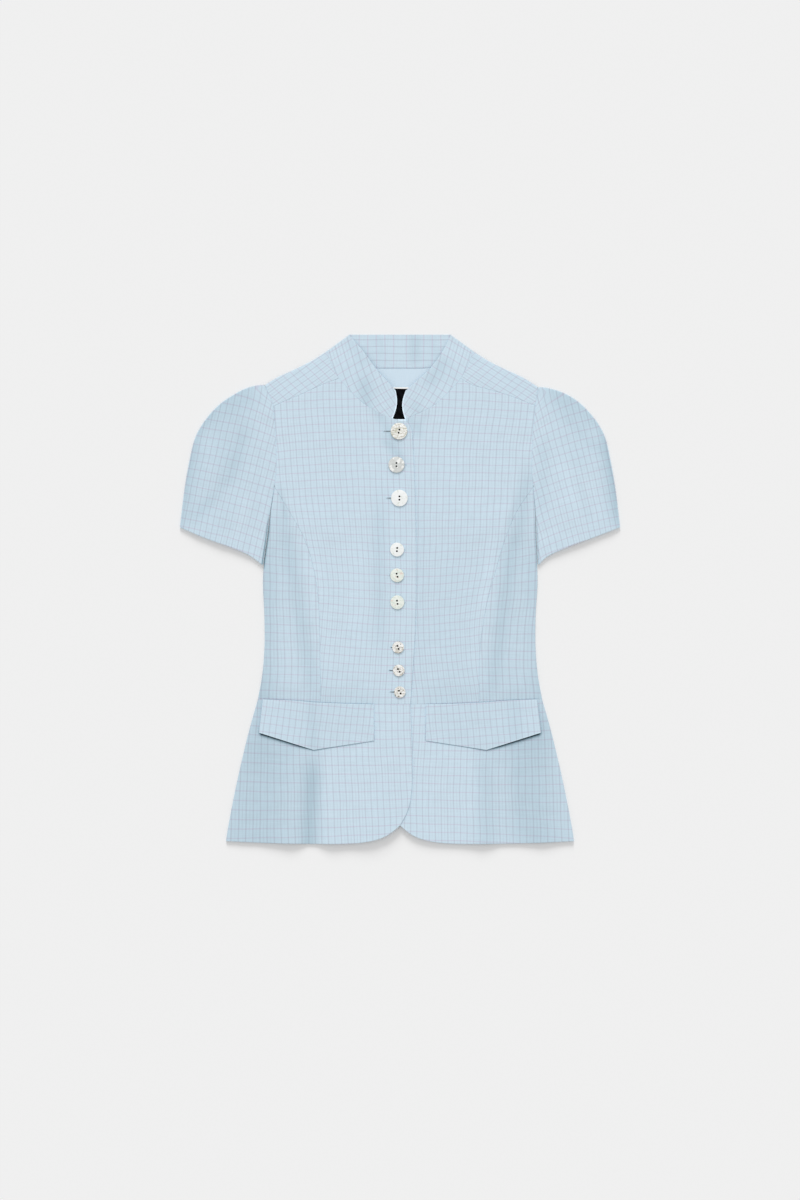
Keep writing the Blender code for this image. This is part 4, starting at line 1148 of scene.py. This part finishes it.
plug_radius = 0.98 * HOLE_WIDTH / 2
pattern_thread = start_primitive(bpy.ops.mesh.primitive_cylinder_add, "thread_pattern", vertices=16,
                                 radius=plug_radius, depth=1.2 * MM)
inset_flat(pattern_thread, 1, (0.35 * plug_radius, 0.2 * MM), (0.3 * plug_radius, -0.15 * MM))
worn_edges(pattern_thread, 0.12 * MM, 2, 20)
second_plug = pattern_thread.data.copy()
pattern_thread.data.transform(Matrix.Translation((0, HOLE_FROM_CENTRE, 0)))
second_plug.transform(Matrix.Translation((0, -HOLE_FROM_CENTRE, 0)))
joined_mesh(pattern_thread, second_plug)
bpy.data.meshes.remove(second_plug)
threads = {}
for number in buttons:
    threads[number] = copied(pattern_thread, f"button_thread_{number}")
    set_in_place(threads[number], number, 0.4 * MM)
bpy.data.objects.remove(pattern_thread, do_unlink=True)
print(len(threads), "pairs of thread plugs")

# %% [markdown]
# ## Buttonholes
# Each buttonhole lies across the front: a slit with a raised, closely worked edge. Most of it hides under the
# button, and its outer end shows on the wearer's right as a short dark dash. The worked edge starts as a torus, gets
# thicker at each stitch of its ends, and is drawn out to the buttonhole's length. The slit is a shallow dark tray.
# The tray's near-black colour is a painted shade for the dark inside of the cut.

# %% Buttonholes
BUTTONHOLE_LENGTH = {21.6: 24, 21.0: 24, 18.0: 20, 17.8: 20, 15.4: 17.5, 15.2: 17.5, 15.0: 17.5}
BUTTONHOLE_END = (-22.2, -15.2, -18.0, -13.0, -15.0, -12.6, -13.2, -15.2, -14.2)
STITCHED_EDGE = 0.34 * MM
STITCHES = 12


def laid_on_front(obj, lift):
    """Press an object's mesh down onto the right front, wherever it lies."""
    for vertex in obj.data.vertices:
        out, up = np.array(-vertex.co.x), np.array(vertex.co.y)
        crease = strokes(CREASES, "right", out, up)[0] + ripple(-out, up)
        vertex.co.z += float(lapped("right", out, up) + WALL + crease) + lift


pattern_edge = start_primitive(bpy.ops.mesh.primitive_torus_add, "edge_pattern", major_radius=0.8 * MM,
                               minor_radius=STITCHED_EDGE, major_segments=4 * STITCHES, minor_segments=8)
bpy.ops.object.mode_set(mode="EDIT")
select_faces(pattern_edge.data,
             lambda centre, normal: math.atan2(centre.y, centre.x) * STITCHES / math.tau % 1 < 0.25)
bpy.ops.transform.shrink_fatten(value=0.08 * MM)
bpy.ops.object.mode_set(mode="OBJECT")
apply_modifiers(pattern_edge)

pattern_slit = start_primitive(bpy.ops.mesh.primitive_cylinder_add, "slit_pattern", vertices=32, radius=1 * MM,
                               depth=0.3 * MM)
inset_flat(pattern_slit, 1, (0.3 * MM, -0.1 * MM))
worn_edges(pattern_slit, 0.06 * MM, 2, 30)

buttonholes, slits = {}, {}
for number, (across_mm, up_mm, diameter) in enumerate(BUTTONS, start=1):
    half = BUTTONHOLE_LENGTH[diameter] / 2 * MM
    middle = BUTTONHOLE_END[number - 1] * MM + half
    buttonholes[number] = copied(pattern_edge, f"buttonhole_{number}")
    for vertex in buttonholes[number].data.vertices:
        vertex.co.x += math.copysign(half - 1.1 * MM, vertex.co.x)
    buttonholes[number].data.transform(Matrix.Translation((middle, up_mm * MM, 0)))
    laid_on_front(buttonholes[number], 0.06 * MM)

    slit_start = BUTTONHOLE_END[number - 1] + 1.2
    # The slit tray is painted shade: near black where the cut lies open.
    slits[number] = copied(pattern_slit, f"buttonhole_slit_shade_{number}")
    slits[number].data.transform(Matrix.Translation(((slit_start + across_mm) / 2 * MM, up_mm * MM, 0))
                                 @ Matrix.Diagonal(((across_mm - slit_start) / 2, 0.45, 1, 1)))
    laid_on_front(slits[number], 0.04 * MM)
for pattern in (pattern_edge, pattern_slit):
    bpy.data.objects.remove(pattern, do_unlink=True)
print(len(buttonholes), "buttonholes")

# %% [markdown]
# ## Materials
# One helper turns sRGB hex into linear colour, one starts a material with its constants, and one adds a node with
# its settings and links. Every pattern is scaled from a size in millimetres.

# %% Material helpers
def linear(hex_colour):
    """An sRGB hex colour as linear red, green, blue and alpha."""
    parts = [int(hex_colour[i : i + 2], 16) / 255 for i in (1, 3, 5)]
    return (*[p / 12.92 if p <= 0.04045 else ((p + 0.055) / 1.055) ** 2.4 for p in parts], 1)


def add(tree, kind, inputs=None, **settings):
    """Add a node with its settings. An input that is a socket is linked, any other value is set."""
    made = tree.nodes.new("ShaderNode" + kind)
    for name, value in settings.items():
        setattr(made, name, value)
    for name, value in (inputs or {}).items():
        if isinstance(value, bpy.types.NodeSocket):
            tree.links.new(value, made.inputs[name])
        else:
            made.inputs[name].default_value = value
    return made


def new_material(name, constants):
    """A material whose shader has these constants, with its node tree and its shader."""
    material = bpy.data.materials.new(name)
    material.use_nodes = True
    shader = material.node_tree.nodes["Principled BSDF"]
    for socket, value in constants.items():
        shader.inputs[socket].default_value = value
    return material, material.node_tree, shader


def wave_scale(pitch):
    """The scale at which a wave texture repeats every pitch, in millimetres. At scale 1 it does every tau / 20 m."""
    return math.tau / 20 / (pitch * MM)


print("white is", linear("#ffffff"))

# %% [markdown]
# ## Checked cotton
# The cloth is yarn-dyed cotton shirting in a plain weave: pale blue, with a thin darker line every 8 mm along the
# length and a slightly pinker one every 10.5 mm across, and fainter lines half-way. The eye reads the check first,
# then the uneven slubs of the yarn, and hardly any gloss. The threads are about 0.3 mm apart, too fine to show, so
# the slubs are drawn 0.8 mm wide, and two crossed waves, much coarser than the weave, make a soft relief.

# %% Lines and slubs
LENGTHWISE_PITCH = 8.15
CROSSWISE_PITCH = 10.45
LINE_WIDTH = 1.5
RELIEF_PITCH = 0.9 * math.tau  # the waves count in radians of 0.9 mm, so they repeat every 5.65 mm
LABEL_RIB_PITCH = 0.9 * math.tau
TWIST_PITCH = 0.5 * math.tau


def woven_line(tree, coordinate, pitch, halfway):
    """1 on the middle of a line that repeats every pitch, 0 beside it. Halfway lines lie between the others."""
    apart = add(tree, "Math", {0: coordinate, 1: pitch / 2 * MM}, operation="PINGPONG").outputs[0]
    full, gone = 0.22 * LINE_WIDTH, 0.72 * LINE_WIDTH
    if not halfway:
        full, gone = pitch / 2 - full, pitch / 2 - gone
    limits = {"Value": apart, "From Min": full * MM, "From Max": gone * MM, "To Min": 1.0, "To Max": 0.0}
    return add(tree, "MapRange", limits, interpolation_type="SMOOTHSTEP").outputs[0]


def slubs(tree, grain, across, along):
    """Yarn that thickens and thins: noise drawn out along the thread. The sizes are in millimetres."""
    stretched = add(tree, "Mapping", {"Vector": grain, "Scale": (1 / (across * MM), 1 / (along * MM), 1)}).outputs[0]
    uneven = {"Vector": stretched, "Scale": 1.0, "Detail": 2.0, "Roughness": 0.6}
    return add(tree, "TexNoise", uneven, noise_dimensions="2D").outputs[0]


print("lines every", LENGTHWISE_PITCH, "and", CROSSWISE_PITCH, "mm")

# %% [markdown]
# ## How the check and the painted shade come together
# The three families of lines could each have their own nodes. They are laid on in one loop, because they differ only
# in a few values. Then the yarn makes the cloth a little lighter or deeper, and the painted shade darkens it in
# creases, slits and gaps, bluer where it is deepest.

# %% Checked cotton
def checked_cotton(name, cell, lengthwise, crosswise):
    """Plain-woven shirting: dull, with a faint fuzz. Roughness 0.88 and IOR 1.5 are cotton's."""
    material, tree, shader = new_material(name, {"Roughness": 0.88, "IOR": 1.5, "Specular IOR Level": 0.3,
                                                 "Sheen Weight": 0.08, "Sheen Roughness": 0.5})
    grain = add(tree, "UVMap", uv_map="grain").outputs[0]
    across, along, _ = add(tree, "SeparateXYZ", {"Vector": grain}).outputs
    warp_slubs, weft_slubs = slubs(tree, grain, 0.8, 26), slubs(tree, grain, 30, 0.9)
    cloudy = {"Vector": grain, "Scale": 1 / (42 * MM), "Detail": 3.0}
    mottle = add(tree, "TexNoise", cloudy, noise_dimensions="2D").outputs[0]
    ends = {"Factor": mottle, "A": linear(cell[0]), "B": linear(cell[1])}
    cloth_colour = add(tree, "Mix", ends, data_type="RGBA").outputs["Result"]
    families = (  # coordinate, pitch, halfway, what makes them uneven, weakest, strongest, how they blend, colour
        (across, LENGTHWISE_PITCH, True, mottle, 0.0, 0.4, "MIX", lengthwise),
        (across, LENGTHWISE_PITCH, False, warp_slubs, 0.7, 1.0, "MIX", lengthwise),
        (along, CROSSWISE_PITCH, False, weft_slubs, 0.6, 1.0, "MULTIPLY", crosswise),
    )
    for coordinate, pitch, halfway, unevenness, weakest, strongest, blend, line_colour in families:
        here = woven_line(tree, coordinate, pitch, halfway)
        limits = {"Value": unevenness, "From Min": 0.35, "From Max": 0.65, "To Min": weakest, "To Max": strongest}
        strength = add(tree, "MapRange", limits).outputs[0]
        factor = add(tree, "Math", {0: here, 1: strength}, operation="MULTIPLY").outputs[0]
        layers = {"Factor": factor, "A": cloth_colour, "B": linear(line_colour)}
        cloth_colour = add(tree, "Mix", layers, data_type="RGBA", blend_type=blend).outputs["Result"]

    yarn = add(tree, "Math", {0: warp_slubs, 1: weft_slubs}, operation="ADD").outputs[0]
    limits = {"Value": yarn, "From Min": 0.7, "From Max": 1.3, "To Min": 0.955, "To Max": 1.04}
    shade = add(tree, "MapRange", limits).outputs[0]
    # Painted shade from the mesh: it scales the colour together with the yarn, and tints it bluer where it is darker.
    painted_shade_and_rim = add(tree, "Attribute", attribute_name="painted_shade_and_rim").outputs["Fac"]
    light = add(tree, "Math", {0: shade, 1: painted_shade_and_rim}, operation="MULTIPLY").outputs[0]
    ends = {"Factor": painted_shade_and_rim, "A": linear("#c4f4ff"), "B": linear("#ffffff")}
    painted_shade_tint = add(tree, "Mix", ends, data_type="RGBA").outputs["Result"]
    tinted = add(tree, "VectorMath", {0: cloth_colour, 1: painted_shade_tint}, operation="MULTIPLY").outputs[0]
    colour = add(tree, "VectorMath", {0: tinted, "Scale": light}, operation="SCALE").outputs[0]
    tree.links.new(colour, shader.inputs["Base Color"])

    wavy = {"Vector": grain, "Scale": wave_scale(RELIEF_PITCH)}
    warpwise, weftwise = [add(tree, "TexWave", wavy, bands_direction=way).outputs[1] for way in "XY"]
    relief = add(tree, "Math", {0: warpwise, 1: weftwise}, operation="MULTIPLY").outputs[0]
    height = add(tree, "Math", {0: relief, 1: yarn}, operation="ADD").outputs[0]
    bump = add(tree, "Bump", {"Height": height, "Strength": 0.35, "Distance": 0.1 * MM}).outputs[0]
    tree.links.new(bump, shader.inputs["Normal"])
    return material


shirting = checked_cotton("yarn_dyed_cotton_shirting", ("#cce0ed", "#cfe2ee"), "#c1cedb", "#fbecf1")
print(shirting.name, "has", len(shirting.node_tree.nodes), "nodes")

# %% [markdown]
# ## Plain lining and woven label
# The lining is plain cotton lawn, smoother and a touch lighter than the shirting. The label is damask-woven
# polyester: nearly black and dull, with a diagonal rib that is drawn coarse because the real one is too fine to
# show, and a pale woven edge along its top.

# %% Lining and label materials
def plain_lawn():
    """Plain-woven cotton lawn: even and soft, with faint slubs."""
    material, tree, shader = new_material("cotton_lawn", {"Roughness": 0.82, "Sheen Weight": 0.1})
    yarn = slubs(tree, add(tree, "UVMap", uv_map="grain").outputs[0], 0.7, 20)
    ends = {"Factor": yarn, "A": linear("#cbdfed"), "B": linear("#d7e8f5")}
    tree.links.new(add(tree, "Mix", ends, data_type="RGBA").outputs["Result"], shader.inputs["Base Color"])
    bump = add(tree, "Bump", {"Height": yarn, "Strength": 0.4, "Distance": 0.1 * MM}).outputs[0]
    tree.links.new(bump, shader.inputs["Normal"])
    return material


def damask_label():
    """Woven polyester: near black, so its specular level is low, with a pale top edge."""
    material, tree, shader = new_material("woven_polyester_label", {"Roughness": 0.7, "Specular IOR Level": 0.05})
    grain = add(tree, "UVMap", uv_map="grain").outputs[0]
    ribbed = {"Vector": grain, "Scale": wave_scale(LABEL_RIB_PITCH), "Distortion": 0.4}
    rib = add(tree, "TexWave", ribbed, bands_direction="DIAGONAL").outputs[1]
    ends = {"Factor": rib, "A": linear("#020204"), "B": linear("#0c0d12")}
    black = add(tree, "Mix", ends, data_type="RGBA").outputs["Result"]
    _, along, _ = add(tree, "SeparateXYZ", {"Vector": grain}).outputs
    edge_starts = LABEL_RANGE[1] + 1.7 * MM
    limits = {"Value": along, "From Min": edge_starts, "From Max": edge_starts + 0.2 * MM}
    edge = add(tree, "MapRange", limits).outputs[0]
    edged = add(tree, "Mix", {"Factor": edge, "A": black, "B": linear("#fdfdfb")}, data_type="RGBA").outputs["Result"]
    tree.links.new(edged, shader.inputs["Base Color"])
    bump = add(tree, "Bump", {"Height": rib, "Strength": 0.5, "Distance": 0.12 * MM}).outputs[0]
    tree.links.new(bump, shader.inputs["Normal"])
    return material


lawn, label_weave = plain_lawn(), damask_label()
print(lawn.name, label_weave.name)

# %% [markdown]
# ## Shell, thread and worked edges
# Mother-of-pearl is layers of aragonite: creamy, with greenish and pinkish streaks that follow the layers, and a
# hard polish. The upper buttons are the whitest, and the small lower ones are cut nearer the brown outer shell.
# Sewing thread is spun cotton or polyester: dull, in two tones that twist. The twist is drawn coarse.

# %% Shell and thread
def mother_of_pearl(name, pale, streak, fleck, fleck_from, fleck_size):
    """Polished shell, IOR 1.6 under a thin gloss: drawn-out layers, and flecks of this size in millimetres."""
    material, tree, shader = new_material(name, {"Roughness": 0.28, "IOR": 1.6, "Coat Weight": 0.4,
                                                 "Coat Roughness": 0.15})
    place = add(tree, "TexCoord").outputs["Object"]
    layered = {"Vector": place, "Scale": (1 / (5 * MM), 1 / (2.2 * MM), 1 / (4 * MM)), "Rotation": (0, 0, 0.7)}
    wavy = {"Vector": add(tree, "Mapping", layered).outputs[0], "Scale": 1.0, "Detail": 4.0, "Distortion": 1.2}
    bands = add(tree, "TexNoise", wavy).outputs[0]
    blotch = add(tree, "TexNoise", {"Vector": place, "Scale": 1 / (fleck_size * MM), "Detail": 2.0}).outputs[0]
    colour = linear(pale)
    for value, low, high, over in ((bands, 0.44, 0.62, streak), (blotch, fleck_from, fleck_from + 0.06, fleck)):
        factor = add(tree, "MapRange", {"Value": value, "From Min": low, "From Max": high}).outputs[0]
        layers = {"Factor": factor, "A": colour, "B": linear(over)}
        colour = add(tree, "Mix", layers, data_type="RGBA").outputs["Result"]
    tree.links.new(colour, shader.inputs["Base Color"])
    bump = add(tree, "Bump", {"Height": bands, "Strength": 0.15, "Distance": 0.1 * MM}).outputs[0]
    tree.links.new(bump, shader.inputs["Normal"])
    return material


def spun_thread(name, dark, light):
    """Sewing thread: two tones that twist along it, dull."""
    material, tree, shader = new_material(name, {"Roughness": 0.75})
    twisted = {"Vector": add(tree, "TexCoord").outputs["Object"], "Scale": wave_scale(TWIST_PITCH), "Distortion": 1.0}
    twist = add(tree, "TexWave", twisted, bands_direction="DIAGONAL").outputs[1]
    ends = {"Factor": twist, "A": linear(dark), "B": linear(light)}
    tree.links.new(add(tree, "Mix", ends, data_type="RGBA").outputs["Result"], shader.inputs["Base Color"])
    bump = add(tree, "Bump", {"Height": twist, "Strength": 0.6, "Distance": 0.1 * MM}).outputs[0]
    tree.links.new(bump, shader.inputs["Normal"])
    return material


SHELLS = (  # kind, pale, streak, fleck, where flecks begin, fleck size, how many buttons
    ("streaked", "#fcfcf9", "#c4c1ae", "#a49c8a", 0.62, 3.0, 1),
    ("grey", "#d9dcda", "#cbcecb", "#f9faf7", 0.56, 4.5, 1),
    ("white", "#f9fbfb", "#f0f3f0", "#e3e8e0", 0.6, 4.5, 2),
    ("green", "#f2f6ef", "#dbe5da", "#e4d6cb", 0.6, 4.5, 2),
    ("brown", "#fafaf8", "#c6c2b4", "#6f665c", 0.6, 2.2, 3),
)
shell_of = []
for kind, *look, count in SHELLS:
    shell_of += [mother_of_pearl(f"{kind}_pearl_shell", *look)] * count
# Near-black thread: a painted shade on the plugs and the buttonhole slits, for the dark inside of holes and cuts.
hole_shade_thread = spun_thread("near_black_thread_as_hole_shade", "#020203", "#0a0b0e")
edge_thread = spun_thread("buttonhole_thread", "#bccfdd", "#d3e3ee")
print(len(SHELLS) + 2, "finishes for the trimmings")

# %% [markdown]
# ## Dress the frame
# Each piece now takes its material, rides on the model's one body, and stands for its CAD node.

# %% Materials and nodes
FINISH_OF = {"back_neck_lining": lawn, "neck_label": label_weave}
for name, piece in cloth_pieces.items():
    cad_name = name.removesuffix("_cloth")
    kind = cad_name.removesuffix("_right").removesuffix("_left")
    side = cad_name.removeprefix(kind).strip("_")
    if kind == "flap":
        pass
    elif kind == "collar":
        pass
    else:
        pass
    piece.data.materials.clear()
    piece.data.materials.append(FINISH_OF.get(cad_name, shirting))
    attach(piece, "root")
    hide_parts(cad_name)

for number, button in buttons.items():
    button.data.materials.append(shell_of[number - 1])
    threads[number].data.materials.append(hole_shade_thread)
    slits[number].data.materials.append(hole_shade_thread)
    buttonholes[number].data.materials.append(edge_thread)
    for piece in (button, threads[number], slits[number], buttonholes[number]):
        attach(piece, "root")
    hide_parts(f"button_{number}")

# %% [markdown]
# ## Floor
# The photograph is a catalogue picture on a pale ground. Matt paper would look the same, so the floor is a plane with
# the faintest fibres and no gloss. It isn't part of the garment.

# %% Floor
floor_material, floor_tree, floor_shader = new_material("pale_paper", {"Roughness": 0.9, "Specular IOR Level": 0.0})
floor_place = add(floor_tree, "TexCoord").outputs["Object"]
fibres = add(floor_tree, "TexNoise", {"Vector": floor_place, "Scale": 300.0, "Detail": 2.0}).outputs[0]
ends = {"Factor": fibres, "A": linear("#f9f9f9"), "B": linear("#fbfbfb")}
paper = add(floor_tree, "Mix", ends, data_type="RGBA").outputs["Result"]
floor_tree.links.new(paper, floor_shader.inputs["Base Color"])
floor = start_primitive(bpy.ops.mesh.primitive_plane_add, "floor", size=12, location=(0, 0, 0))
floor.data.materials.append(floor_material)
print("floor of", floor.dimensions.x, "m")

# %% [markdown]
# ## Light
# A white surround fills the shadows. A broad sun from beyond the collar models the cloth. A lower one lights only
# the floor, because the shadow in the photograph is longer and softer than the garment's own light would throw.

# %% Light
SURROUND = 0.66
SUNS = (  # name, elevation, azimuth, strength, spread, what it lights
    ("key", 50, 97, 1.23, 36, "garment"),
    ("floor_key", 19, 93, 2.4, 20, "floor"),
)
scene = bpy.context.scene
scene.world = bpy.data.worlds.new("white_surround")
scene.world.use_nodes = True
scene.world.node_tree.nodes["Background"].inputs[0].default_value = (1, 1, 1, 1)
scene.world.node_tree.nodes["Background"].inputs[1].default_value = SURROUND

lit = {name: bpy.data.collections.new(f"lit_{name}") for name in ("garment", "floor")}
lit["floor"].objects.link(floor)
for obj in scene.objects:
    if obj.type == "MESH" and obj != floor:
        lit["garment"].objects.link(obj)
for name, elevation, azimuth, strength, spread, receiver in SUNS:
    sun_data = bpy.data.lights.new(name, "SUN")
    sun_data.energy = strength
    sun_data.angle = math.radians(spread)
    sun = bpy.data.objects.new(name, sun_data)
    sun.rotation_euler = (0, math.radians(90 - elevation), math.radians(azimuth))
    scene.collection.objects.link(sun)
    sun.light_linking.receiver_collection = lit[receiver]
scene.view_settings.view_transform = "Standard"
scene.view_settings.look = "None"
print(len(SUNS), "suns and a white surround")

# %% [markdown]
# ## Camera
# The garment lies flat, so the camera looks straight down with a long lens, as the photographer's did. Its height
# makes the frame as tall as the photograph, 1.3 mm a pixel.

# %% Camera
VIEW_HEIGHT = 1.56
VIEW_CENTRE = (0.0, -0.0143)
camera_data = bpy.data.cameras.new("camera")
camera_data.lens = 85
camera_data.sensor_width = 36
camera = bpy.data.objects.new("camera", camera_data)
camera.location = (*VIEW_CENTRE, VIEW_HEIGHT * camera_data.lens / camera_data.sensor_width)
scene.collection.objects.link(camera)
scene.camera = camera
print("camera stands", round(camera.location.z, 3), "m above the cloth")
